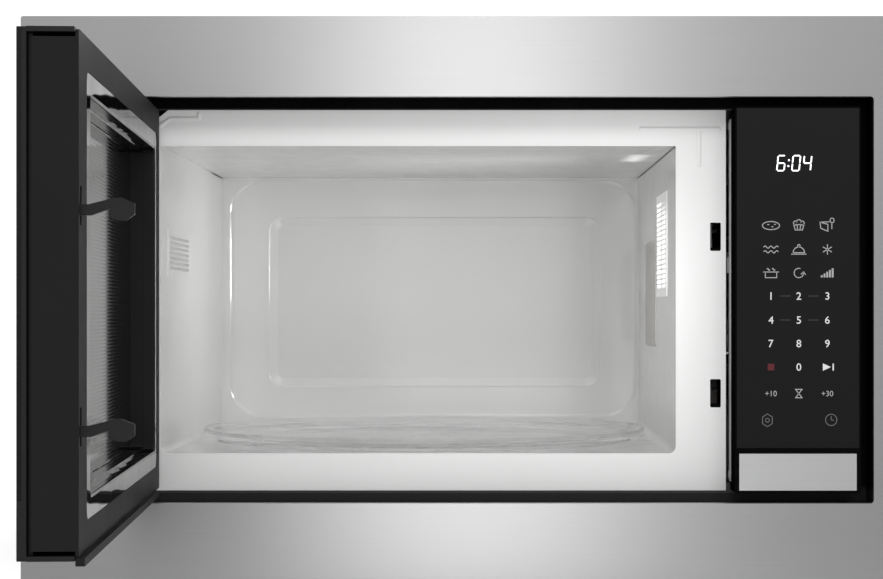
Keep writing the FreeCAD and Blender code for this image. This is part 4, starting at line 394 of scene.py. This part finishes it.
def lit_screen(name, colour, glow):
    """Enamelled sheet before a bulb, with painted light: emission on the walls of the holes near the bulb,
    and a little on the flat face, stands for the bulb's light on them.
    """
    material, tree, shader = new_finish(name)
    place = place_on_piece(tree)
    clouds = noise(tree, place, 40.0, 2.0)
    tree.links.new(shades(tree, clouds, tint(colour, 0.95), tint(colour, 1.05)), shader.inputs["Base Color"])
    flat = sums(tree, "ABSOLUTE", facing(tree, "X"), 0.0)
    painted_hole_glow = sums(tree, "MULTIPLY", span(tree, flat, 1.0, 0.0, 0.5, 0.9),
                 inside(tree, place, BULB_MIDDLE, BULB_HALF, BULB_EDGE, "YZ"))
    tree.links.new(shades(tree, painted_hole_glow, tint(glow, FACE_GLOW), glow), shader.inputs["Emission Color"])
    shader.inputs["Emission Strength"].default_value = 1.0
    tree.links.new(span(tree, clouds, 0.22, 0.3), shader.inputs["Roughness"])
    return material


FINISHES = {
    "stainless": brushed_steel("stainless", (0.58, 0.58, 0.583)),
    # The liner's foot is a lighter black than its walls: a painted sheen for the soft reflections along the
    # foot
    "black_liner": painted_light_change("black_liner", (0.026, 0.026, 0.0265), (0.002, 0.002, 0.0021), "Z",
                            *LINER_SHEEN_CHANGE, 0.35, 0.03),
    "zinc_steel": zinc_sheet("zinc_steel", (0.55, 0.56, 0.57)),
    "casing_paint": coated_sheet("casing_paint", (0.03, 0.03, 0.031), 0.45),
    "white_paint": coated_sheet("white_paint", (0.8, 0.8, 0.795), 0.3),
    "cavity_enamel": coated_sheet("cavity_enamel", (0.7, 0.7, 0.695), 0.1),
    # The panel bracket is grey on its side and black short of it: the black is painted shade in the gap by
    # the control housing
    "grey_paint": painted_light_change("grey_paint", (0.002, 0.002, 0.002), (0.48, 0.48, 0.48), "X",
                           *BRACKET_SHADE_CHANGE, 0.4, 0.3),
    "mica": mica_sheet("mica", (0.6, 0.58, 0.55)),
    "black_plastic": moulded_plastic("black_plastic", (0.009, 0.009, 0.0093), 0.42, gloss=0.2),
    "black_gloss": door_dish("black_gloss", (0.004, 0.004, 0.0042)),
    "black_glass": polished_black("black_glass", (0.006, 0.006, 0.0063), 0.06, 0.25),
    "tray_glass": clear_glass("tray_glass", (0.985, 0.99, 0.988), 25.0, 1.08, 0.6),
    "bulb_glass": lamp_glow("bulb_glass", (0.95, 0.93, 0.88), 1.0),
    "rubber": moulded_plastic("rubber", (0.02, 0.02, 0.02), 0.75, 800.0, 0.06 * MM, 0.3),
    "screw_steel": bare_metal("screw_steel", (0.55, 0.55, 0.55), 0.35),
    "iron_core": bare_metal("iron_core", (0.22, 0.21, 0.2), 0.5),
    "circuit_board": board_laminate("circuit_board", (0.02, 0.08, 0.035)),
    "white_plastic": moulded_plastic("white_plastic", (0.7, 0.7, 0.68), 0.45),
    "aluminium": bare_metal("aluminium", (0.75, 0.76, 0.77), 0.3),
    "spring_steel": bare_metal("spring_steel", (0.5, 0.5, 0.5), 0.3),
}

DEEP_BLACK = (0.003, 0.003, 0.0031)
# Near black for the inner pieces seen through slots and screens: partly their black plastic, partly painted
# shade deep in the slots
slot_shade_black = moulded_plastic("slot_shade_black", DEEP_BLACK, 0.8, gloss=0.05)
strip_steel = brushed_steel("strip_steel", (0.78, 0.78, 0.784), 0.45)
NODE_FINISHES = {
    "lamp_screen": lit_screen("lit_screen", (0.7, 0.7, 0.695), (1.1, 1.1, 1.08)),
    "control_housing": moulded_plastic("housing_black", DEEP_BLACK, 0.6, gloss=0.0),
    "door_bezel": moulded_plastic("bezel_black", (0.011, 0.011, 0.0113), 0.5, gloss=0.06),
    "control_strip": strip_steel,
    "door_strip": strip_steel,
    "latch_board": slot_shade_black,
    "lamp_socket": slot_shade_black,
    "interlock_switches": slot_shade_black,
    "release_slider": slot_shade_black,
}

for part in frame["record"]["subparts"]:
    mesh = nodes[part["node"]].data
    mesh.materials.clear()
    mesh.materials.append(NODE_FINISHES.get(part["node"], FINISHES[part["material_slot"]]))


# Marks on the control glass, and a black rubber strip that shuts the slit between the liner and the casing as
# painted shade

SHADE_STRIP_LOW = (-299.0 * MM, 29.5 * MM, 158.8 * MM)
SHADE_STRIP_HIGH = (299.0 * MM, 32.5 * MM, 160.0 * MM)
GLASS_FACE = -16.0 * MM
MARK_FRONT = GLASS_FACE - 0.05 * MM
MARK_BACK = GLASS_FACE + 0.02 * MM

# Marks are drawn in millimetres, in X and Z; signs about the middle of their key
THIN = 0.7
BOLD = 0.008
KEY_COLUMNS = (228.9, 251.5, 274.7)
SIGN_ROWS = (60.4, 41.0, 21.9)
DOOR_SIGN_ROW = 60.6
DIGIT_ROWS = (3.2, -16.3, -35.4)
START_ROW = -54.5
TIMER_ROW = -76.0
HEXAGON_PLACE = (226.0, -97.7)
CLOCK_PLACE = (277.8, -97.4)
DIGIT_HIGH = 6.1
SMALL_DIGIT_HIGH = 4.4
DASH_COLUMNS = (240.6, 263.4)
DASH_HALF = 4.2
DASH_WIDTH = 0.6
ARROW_BAR_WIDTH = 1.1
STOP_HALF = 2.7
MITRE_LEAST = 0.35


def arc(middle, radii, start, end, count=25):
    """Points at middle + radii * (cos t, sin t), with t running from start to end in degrees."""
    t = np.radians(np.linspace(start, end, count))
    return np.column_stack([middle[0] + radii[0] * np.cos(t), middle[1] + radii[1] * np.sin(t)])


def wave(x0, x1, z, height, turns, count=33):
    """Points at height z + height * sin(2 pi turns s), with s running from 0 to 1 between x0 and x1."""
    s = np.linspace(0.0, 1.0, count)
    return np.column_stack([x0 + s * (x1 - x0), z + height * np.sin(2.0 * np.pi * turns * s)])


def band(path, width=THIN, closed=False):
    """A flat closed band: a rectangle carried along a path, its corners at path +- normal * width / 2."""
    path = np.asarray(path, dtype=float)
    ahead = np.roll(path, -1, axis=0) - path
    behind = path - np.roll(path, 1, axis=0)
    if not closed:
        ahead[-1], behind[0] = behind[-1], ahead[0]
    ahead /= np.linalg.norm(ahead, axis=1)[:, None]
    behind /= np.linalg.norm(behind, axis=1)[:, None]
    along = ahead + behind
    along /= np.linalg.norm(along, axis=1)[:, None]
    stretch = 1.0 / np.clip((along * ahead).sum(axis=1), MITRE_LEAST, 1.0)
    normal = np.column_stack([-along[:, 1], along[:, 0]]) * stretch[:, None] * (width / 2.0)
    rings = np.empty((len(path), 4, 3))
    rings[:, (0, 1), 0::2] = (path + normal)[:, None, :] * MM
    rings[:, (2, 3), 0::2] = (path - normal)[:, None, :] * MM
    rings[:, (0, 3), 1] = MARK_FRONT
    rings[:, (1, 2), 1] = MARK_BACK
    i = np.arange(len(path) if closed else len(path) - 1)[:, None] * 4
    j = np.arange(4)[None, :]
    nxt = (i + 4) % (len(path) * 4)
    faces = np.stack([i + j, nxt + j, nxt + (j + 1) % 4, i + (j + 1) % 4], axis=-1).reshape(-1, 4).tolist()
    if not closed:
        last = 4 * (len(path) - 1)
        faces += [[0, 1, 2, 3], [last + 3, last + 2, last + 1, last]]
    return rings.reshape(-1, 3), faces


def plate(outline):
    """A thin flat plate: an outline given anticlockwise, at the front depth and again at the back depth."""
    outline = np.asarray(outline, dtype=float)
    n = len(outline)
    points = np.empty((2 * n, 3))
    points[:, 0::2] = np.tile(outline, (2, 1)) * MM
    points[:n, 1], points[n:, 1] = MARK_FRONT, MARK_BACK
    k = np.arange(n)
    sides = np.column_stack([k, k + n, (k + 1) % n + n, (k + 1) % n]).tolist()
    return points, [k.tolist(), (k[::-1] + n).tolist()] + sides


def slab(low, high):
    """A box between two corners."""
    points = np.stack(np.meshgrid(*zip(low, high), indexing="ij"), axis=-1).reshape(-1, 3)
    return points, [[0, 1, 3, 2], [4, 6, 7, 5], [0, 4, 5, 1], [2, 3, 7, 6], [0, 2, 6, 4], [1, 5, 7, 3]]


def moved(shape, x, z):
    """A shape's points moved to a key's centre."""
    points, faces = shape
    return points + np.array([x * MM, 0.0, z * MM]), faces


def printed_text(body, x, z, high, weight=BOLD):
    """Figures as a closed mesh of a given height, centred on a key; weight thickens their strokes."""
    curve = bpy.data.curves.new("figures", "FONT")
    curve.body = body
    curve.size = 1.0
    curve.offset = weight
    curve.extrude = 0.5
    holder = bpy.data.objects.new("figures", curve)
    solid = bpy.data.meshes.new_from_object(holder)
    flat = np.empty(len(solid.vertices) * 3)
    solid.vertices.foreach_get("co", flat)
    flat = flat.reshape(-1, 3)
    faces = [list(face.vertices) for face in solid.polygons]
    bpy.data.objects.remove(holder)
    bpy.data.curves.remove(curve)
    bpy.data.meshes.remove(solid)
    low, top = flat.min(axis=0), flat.max(axis=0)
    scale = high * MM / (top[1] - low[1])
    centre = (low + top) / 2.0
    points = np.column_stack([x * MM + (flat[:, 0] - centre[0]) * scale,
                              np.where(flat[:, 2] > 0.0, MARK_FRONT, MARK_BACK),
                              z * MM + (flat[:, 1] - centre[1]) * scale])
    return points, faces


def merged_piece(name, shapes, finish):
    """One mesh from several shapes, riding on the fixed body."""
    starts = np.cumsum([0] + [len(points) for points, _ in shapes])
    points = np.concatenate([points for points, _ in shapes])
    faces = [[int(corner + start) for corner in face]
             for (_, group), start in zip(shapes, starts) for face in group]
    mesh = bpy.data.meshes.new(name)
    mesh.from_pydata(points.tolist(), [], faces)
    mesh.materials.append(finish)
    piece = bpy.data.objects.new(name, mesh)
    bpy.context.scene.collection.objects.link(piece)
    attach(piece, "chassis")


def printed_ink(name, colour, glow=0.0):
    """Screen-printed ink: slightly uneven cover, and a glow where a lamp shines through it."""
    material, tree, shader = new_finish(name)
    cover = noise(tree, place_on_piece(tree), 900.0, 2.0)
    ink = shades(tree, cover, tint(colour, 0.9), tint(colour, 1.05))
    tree.links.new(ink, shader.inputs["Base Color"])
    tree.links.new(ink, shader.inputs["Emission Color"])
    shader.inputs["Emission Strength"].default_value = glow
    tree.links.new(span(tree, cover, 0.5, 0.65), shader.inputs["Roughness"])
    shader.inputs["Specular IOR Level"].default_value = 0.2
    relief(tree, shader, cover, 0.01 * MM, 0.2)
    return material


# A black strip over the see-through slit above the casing: painted shade
merged_piece("liner_shade_strip", [slab(SHADE_STRIP_LOW, SHADE_STRIP_HIGH)], FINISHES["rubber"])

digits = [printed_text(str(3 * row + column + 1), KEY_COLUMNS[column], z, DIGIT_HIGH)
          for row, z in enumerate(DIGIT_ROWS) for column in range(3)]
digits.append(printed_text("0", KEY_COLUMNS[1], START_ROW, DIGIT_HIGH))
START_ARROW = [plate([[-3.7, -3.0], [2.9, 0.0], [-3.7, 3.0]]),
               band([[4.7, -2.8], [4.7, 2.8]], ARROW_BAR_WIDTH)]
digits += [moved(shape, KEY_COLUMNS[2], START_ROW) for shape in START_ARROW]
merged_piece("key_digits", digits, printed_ink("digit_ink", (0.62, 0.62, 0.62)))

dashes = [band([[x - DASH_HALF, z], [x + DASH_HALF, z]], DASH_WIDTH)
          for x in DASH_COLUMNS for z in DIGIT_ROWS[:2]]
merged_piece("key_dashes", dashes, printed_ink("dash_ink", (0.05, 0.05, 0.05)))

POTATO = [band(arc((0, 0), (7.0, 3.3), 0, 345, 24), closed=True), band([[-3.0, 0.8], [-1.4, 0.8]]),
          band([[0.4, -0.9], [2.0, -0.9]]), band([[2.6, 1.0], [4.0, 1.0]])]
POPCORN = [band([[-4.2, 0.8], [-2.9, -3.6], [2.9, -3.6], [4.2, 0.8]], closed=True),
           band(arc((-2.7, 2.0), (1.7, 1.7), 300, 40)), band(arc((0.0, 3.0), (1.8, 1.8), 200, -20)),
           band(arc((2.7, 2.0), (1.7, 1.7), 140, -120)), band([[-1.4, 0.8], [-1.0, -3.6]]),
           band([[1.4, 0.8], [1.0, -3.6]])]
DOOR_OPENS = [band([[-6.0, 2.6], [-5.4, -2.4], [0.4, -4.8], [0.4, 0.8]], closed=True),
              band([[-6.0, 2.6], [1.6, 2.9]]), band([[3.6, -3.0], [3.6, 2.0]]),
              band(arc((3.8, 4.0), (1.6, 1.9), 0, 345, 24), closed=True)]
MELT = [band(wave(-6.0, 6.0, 1.9, 0.9, 2.5)), band(wave(-6.0, 6.0, -1.9, 0.9, 2.5))]
DOME = [band(np.vstack([arc((0.0, -2.6), (4.6, 4.6), 180, 0), [[-4.6, -2.6]]])),
        band([[-6.2, -3.8], [6.2, -3.8]]),
        band(arc((0.0, 3.1), (1.0, 1.0), 0, 330, 12), closed=True)]
FROST = [band(arc((0.0, 0.0), (4.2, 4.2), angle + 180.0, angle, 2)) for angle in (90.0, 150.0, 210.0)]
POT = [band([[-4.6, 0.8], [-4.6, -3.8], [4.6, -3.8], [4.6, 0.8]]), band([[-6.4, 0.8], [6.4, 0.8]]),
       band(wave(-3.2, -1.0, 2.9, 0.9, 1.0)), band(wave(1.0, 3.2, 2.9, 0.9, 1.0))]
REHEAT = [band(arc((0.0, 0.0), (3.8, 3.8), 70, 370)), band([[1.7, -1.0], [3.9, 0.9], [5.6, -1.4]])]
LEVELS = [plate([[x, -3.6], [x + 1.5, -3.6], [x + 1.5, top], [x, top]])
          for x, top in zip((-5.3, -3.1, -0.9, 1.3, 3.5), (-1.9, -0.4, 1.0, 2.4, 3.8))]
HOURGLASS = [band([[-2.6, 3.4], [2.6, 3.4], [-2.6, -3.4], [2.6, -3.4]], closed=True)]
HEXAGON = [band(arc((0.0, 0.0), (4.6, 5.2), 30, 330, 6), closed=True),
           band(arc((0.0, 0.0), (1.6, 1.6), 0, 340, 18), closed=True)]
CLOCK = [band(arc((0.0, 0.0), (4.6, 4.6), 0, 348, 30), closed=True),
         band([[0.0, 3.0], [0.0, 0.0], [2.2, -0.4]])]
KEY_SIGNS = (
    (POTATO, 0, SIGN_ROWS[0]), (POPCORN, 1, SIGN_ROWS[0]), (DOOR_OPENS, 2, DOOR_SIGN_ROW),
    (MELT, 0, SIGN_ROWS[1]), (DOME, 1, SIGN_ROWS[1]), (FROST, 2, SIGN_ROWS[1]),
    (POT, 0, SIGN_ROWS[2]), (REHEAT, 1, SIGN_ROWS[2]), (LEVELS, 2, SIGN_ROWS[2]),
    (HOURGLASS, 1, TIMER_ROW),
)
signs = [moved(shape, KEY_COLUMNS[column], z) for sign, column, z in KEY_SIGNS for shape in sign]
signs += [printed_text("+10", KEY_COLUMNS[0], TIMER_ROW, SMALL_DIGIT_HIGH, 0.0),
          printed_text("+30", KEY_COLUMNS[2], TIMER_ROW, SMALL_DIGIT_HIGH, 0.0)]
merged_piece("key_signs", signs, printed_ink("sign_ink", (0.34, 0.34, 0.34)))

faint = [moved(shape, *place) for sign, place in ((HEXAGON, HEXAGON_PLACE), (CLOCK, CLOCK_PLACE))
         for shape in sign]
merged_piece("faint_signs", faint, printed_ink("faint_ink", (0.11, 0.11, 0.11)))

stop_square = np.array([[-1, -1], [1, -1], [1, 1], [-1, 1]]) * STOP_HALF
merged_piece("stop_sign", [moved(plate(stop_square), KEY_COLUMNS[0], START_ROW)],
             printed_ink("stop_ink", (0.1, 0.016, 0.02)))

# Digits of the display: each bar is a six-sided plate between two corners of its digit
DIGIT_STEP = 9.1
DIGIT_W = 5.9
DIGIT_HALF = 6.1
BAR_W = 1.05
BAR_GAP = 0.25
COLON_ROOM = 3.1
SLANT = 0.1
DOT_R = 0.75
DOT_RISE = 2.4
DISPLAY_LEFT = 234.2
DISPLAY_MIDDLE = 111.1
CORNERS = np.array([[0.0, 1.0], [1.0, 1.0], [1.0, 0.0], [1.0, -1.0], [0.0, -1.0], [0.0, 0.0]])
BARS = ((0, 1), (1, 2), (2, 3), (3, 4), (4, 5), (5, 0), (5, 2))
BARS_OF = {"6": (0, 2, 3, 4, 5, 6), "0": (0, 1, 2, 3, 4, 5), "4": (1, 2, 5, 6)}


def bar_plate(a, b):
    """A bar with pointed ends between two points, drawn back from both by a gap."""
    run = (b - a) / np.linalg.norm(b - a)
    side = np.array([-run[1], run[0]]) * BAR_W / 2.0
    a, b = a + run * BAR_GAP, b - run * BAR_GAP
    tip = run * BAR_W / 2.0
    outline = np.array([a, a + tip - side, b - tip - side, b, b - tip + side, a + tip + side])
    outline[:, 0] += SLANT * outline[:, 1]
    return outline


def display_digit(figure, left):
    """The lit bars of one figure."""
    corners = CORNERS * (DIGIT_W, DIGIT_HALF)
    return [plate(bar_plate(corners[BARS[k][0]], corners[BARS[k][1]]) + (left, DISPLAY_MIDDLE))
            for k in BARS_OF[figure]]


lit = display_digit("6", DISPLAY_LEFT)
lit += display_digit("0", DISPLAY_LEFT + DIGIT_STEP + COLON_ROOM)
lit += display_digit("4", DISPLAY_LEFT + 2 * DIGIT_STEP + COLON_ROOM)
colon = DISPLAY_LEFT + (DIGIT_STEP + COLON_ROOM + DIGIT_W) / 2.0
lit += [plate(arc((colon + SLANT * z, DISPLAY_MIDDLE + z), (DOT_R, DOT_R), 0, 330, 12))
        for z in (-DOT_RISE, DOT_RISE)]
merged_piece("display_digits", lit, printed_ink("display_glow", (0.95, 0.97, 1.0), 1.0))


# Stage, lights and camera

# Softboxes: place, the point that each is turned to, width and height, and watts
FRONT_BOX = ((-0.02, -2.9, 0.05), (-0.02, 0.0, 0.0), (0.5, 1.9), 7.5)
KEY_BOX = ((0.3, -2.75, 1.55), (0.0, 0.0, 0.0), (1.8, 0.6), 28.0)
BACK_BOX = ((-0.4, 2.6, 1.2), (0.0, 0.2, 0.0), (1.6, 1.2), 20.0)

# Lamps in the cavity: the bulb's light, what leaks up to the ceiling, and a soft fill from the doorway
LAMP_POWER = 0.23
LAMP_SPREAD = math.radians(70.0)
LAMP_OFF_WALL = 2.0 * MM
LAMP_WAY = (-1.0, 0.35, 0.0)
LEAK_POWER = 0.0065
LEAK_PLACE = (0.133, 0.165, 0.108)
LEAK_WAY = (0.0, 0.0, 1.0)
LEAK_SIZE = (0.08, 0.006)
FILL_POWER = 0.13
FILL_SPREAD = math.radians(110.0)
FILL_PLACE = (-0.06, 0.03, 0.02)
FILL_WAY = (0.5, 1.0, -0.1)
FILL_SIZE = (0.36, 0.12)

# The room: its light from the sides and from overhead, and what metal and glass see of it, which is white
# behind the object and in front a shade that goes from FRONT_LOW to FRONT_HIGH with the height
ROOM_LIGHT = 1.2
ROOM_TOP = 0.3
FRONT_LOW = 0.12
FRONT_HIGH = 0.75
FRONT_RISE = (-0.3, 0.3)
FRONT_TO_BACK = (-0.35, 0.15)

# The floor: its middle, how far out it is whole, where it ends, and how far it lies below the object
FLOOR_MIDDLE = (0.0, 0.34)
FLOOR_FULL = 0.12
FLOOR_END = 0.66
FLOOR_BELOW = 0.5 * MM
FLOOR_COLOUR = (0.86, 0.86, 0.86)

CLIP = (0.05, 50.0)


def round_floor(name, middle, radius, z, count=96):
    """A flat disc at one height: middle + radius * (cos t, sin t)."""
    t = np.linspace(0.0, 2.0 * np.pi, count, endpoint=False)
    points = np.column_stack([middle[0] + radius * np.cos(t), middle[1] + radius * np.sin(t),
                              np.full(count, z)])
    mesh = bpy.data.meshes.new(name)
    mesh.from_pydata(points.tolist(), [], [list(range(count))])
    piece = bpy.data.objects.new(name, mesh)
    bpy.context.scene.collection.objects.link(piece)
    return piece


def fading_paper(name, colour, middle, full, end):
    """White paper that thins out to nothing between two distances from its middle."""
    material, tree, shader = new_finish(name)
    place = place_on_piece(tree, shift=(-middle[0], -middle[1], 0.0))
    flat = tree.nodes.new("ShaderNodeVectorMath")
    flat.operation = "MULTIPLY"
    flat.inputs[1].default_value = (1.0, 1.0, 0.0)
    tree.links.new(place, flat.inputs[0])
    far = tree.nodes.new("ShaderNodeVectorMath")
    far.operation = "LENGTH"
    tree.links.new(flat.outputs["Vector"], far.inputs[0])
    tree.links.new(span(tree, far.outputs["Value"], 1.0, 0.0, full, end), shader.inputs["Alpha"])
    fibres = noise(tree, place, 300.0, 3.0)
    tree.links.new(shades(tree, fibres, tint(colour, 0.98), colour), shader.inputs["Base Color"])
    shader.inputs["Roughness"].default_value = 0.8
    shader.inputs["Specular IOR Level"].default_value = 0.1
    return material


floor = round_floor("studio_floor", FLOOR_MIDDLE, FLOOR_END, cad_box[0].z - FLOOR_BELOW)
paper = fading_paper("floor_paper", FLOOR_COLOUR, FLOOR_MIDDLE, FLOOR_FULL, FLOOR_END)
floor.data.materials.append(paper)


def area_light(name, place, aim, size, power):
    """A soft rectangular lamp at a place, turned to a point."""
    lamp = bpy.data.lights.new(name, "AREA")
    lamp.shape = "RECTANGLE"
    lamp.size, lamp.size_y = size
    lamp.energy = power
    holder = bpy.data.objects.new(name, lamp)
    way = np.subtract(aim, place)
    yaw = math.atan2(way[1], way[0]) - math.pi / 2
    pitch = math.atan2(way[2], math.hypot(way[0], way[1])) + math.pi / 2
    holder.location = place
    holder.rotation_euler = (pitch, 0.0, yaw)
    holder.visible_camera = False
    bpy.context.scene.collection.objects.link(holder)
    return holder


def cavity_lamp(name, place, way, size, power, spread):
    """A soft lamp inside the cavity that shines along a way, over a spread."""
    holder = area_light(name, place, np.add(place, way), size, power)
    holder.data.spread = spread
    return holder


area_light("front_softbox", *FRONT_BOX)
area_light("key_softbox", *KEY_BOX).visible_glossy = False
area_light("back_softbox", *BACK_BOX)

low, high = (np.array(corner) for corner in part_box("lamp_screen"))
lamp_place = np.array([low[0] - LAMP_OFF_WALL, *(low + high)[1:] / 2.0])
cavity_lamp("cavity_light", lamp_place, LAMP_WAY, (high - low)[1:], LAMP_POWER, LAMP_SPREAD)
leak = cavity_lamp("cavity_leak", LEAK_PLACE, LEAK_WAY, LEAK_SIZE, LEAK_POWER, LAMP_SPREAD)
leak.visible_glossy = False
fill = cavity_lamp("cavity_fill", FILL_PLACE, FILL_WAY, FILL_SIZE, FILL_POWER, FILL_SPREAD)
fill.visible_glossy = False


def studio_world(name):
    """A white backdrop to the camera, soft light to matt surfaces, and the room to glossy and clear ones."""
    world = bpy.data.worlds.new(name)
    world.use_nodes = True
    sky = world.node_tree
    sky.nodes.clear()
    path = sky.nodes.new("ShaderNodeLightPath")
    mirrored = sums(sky, "MAXIMUM", path.outputs["Is Glossy Ray"], path.outputs["Is Transmission Ray"])
    direction = sky.nodes.new("ShaderNodeTexCoord")
    ways = sky.nodes.new("ShaderNodeSeparateXYZ")
    sky.links.new(direction.outputs["Generated"], ways.inputs["Vector"])
    backward = span(sky, ways.outputs["Y"], 0.0, 1.0, *FRONT_TO_BACK)
    upward = span(sky, ways.outputs["Z"], FRONT_LOW, FRONT_HIGH, *FRONT_RISE)
    room = sums(sky, "ADD", sums(sky, "MULTIPLY", backward, sums(sky, "SUBTRACT", 1.0, upward)), upward)
    soft = span(sky, ways.outputs["Z"], ROOM_LIGHT, ROOM_TOP)
    seen = sums(sky, "ADD", sums(sky, "MULTIPLY", mirrored, sums(sky, "SUBTRACT", room, soft)), soft)
    shown = sums(sky, "MAXIMUM", path.outputs["Is Camera Ray"], seen)
    backdrop = sky.nodes.new("ShaderNodeBackground")
    backdrop.inputs["Color"].default_value = (1.0, 1.0, 1.0, 1.0)
    sky.links.new(shown, backdrop.inputs["Strength"])
    end = sky.nodes.new("ShaderNodeOutputWorld")
    sky.links.new(backdrop.outputs["Background"], end.inputs["Surface"])
    return world


def photo_camera(name):
    """The camera, level and square to the trim, with the photograph's framing as its shift."""
    lens = bpy.data.cameras.new(name)
    lens.lens = LENS
    lens.sensor_width = SENSOR
    lens.sensor_fit = "HORIZONTAL"
    lens.shift_x, lens.shift_y = SHIFT
    lens.clip_start, lens.clip_end = CLIP
    eye = bpy.data.objects.new(name, lens)
    eye.location = CAMERA_PLACE
    eye.rotation_euler = (math.pi / 2, 0.0, 0.0)
    bpy.context.scene.collection.objects.link(eye)
    return eye


bpy.context.scene.world = studio_world("studio")
bpy.context.scene.camera = photo_camera("photo_camera")
bpy.context.scene.view_settings.view_transform = "Standard"
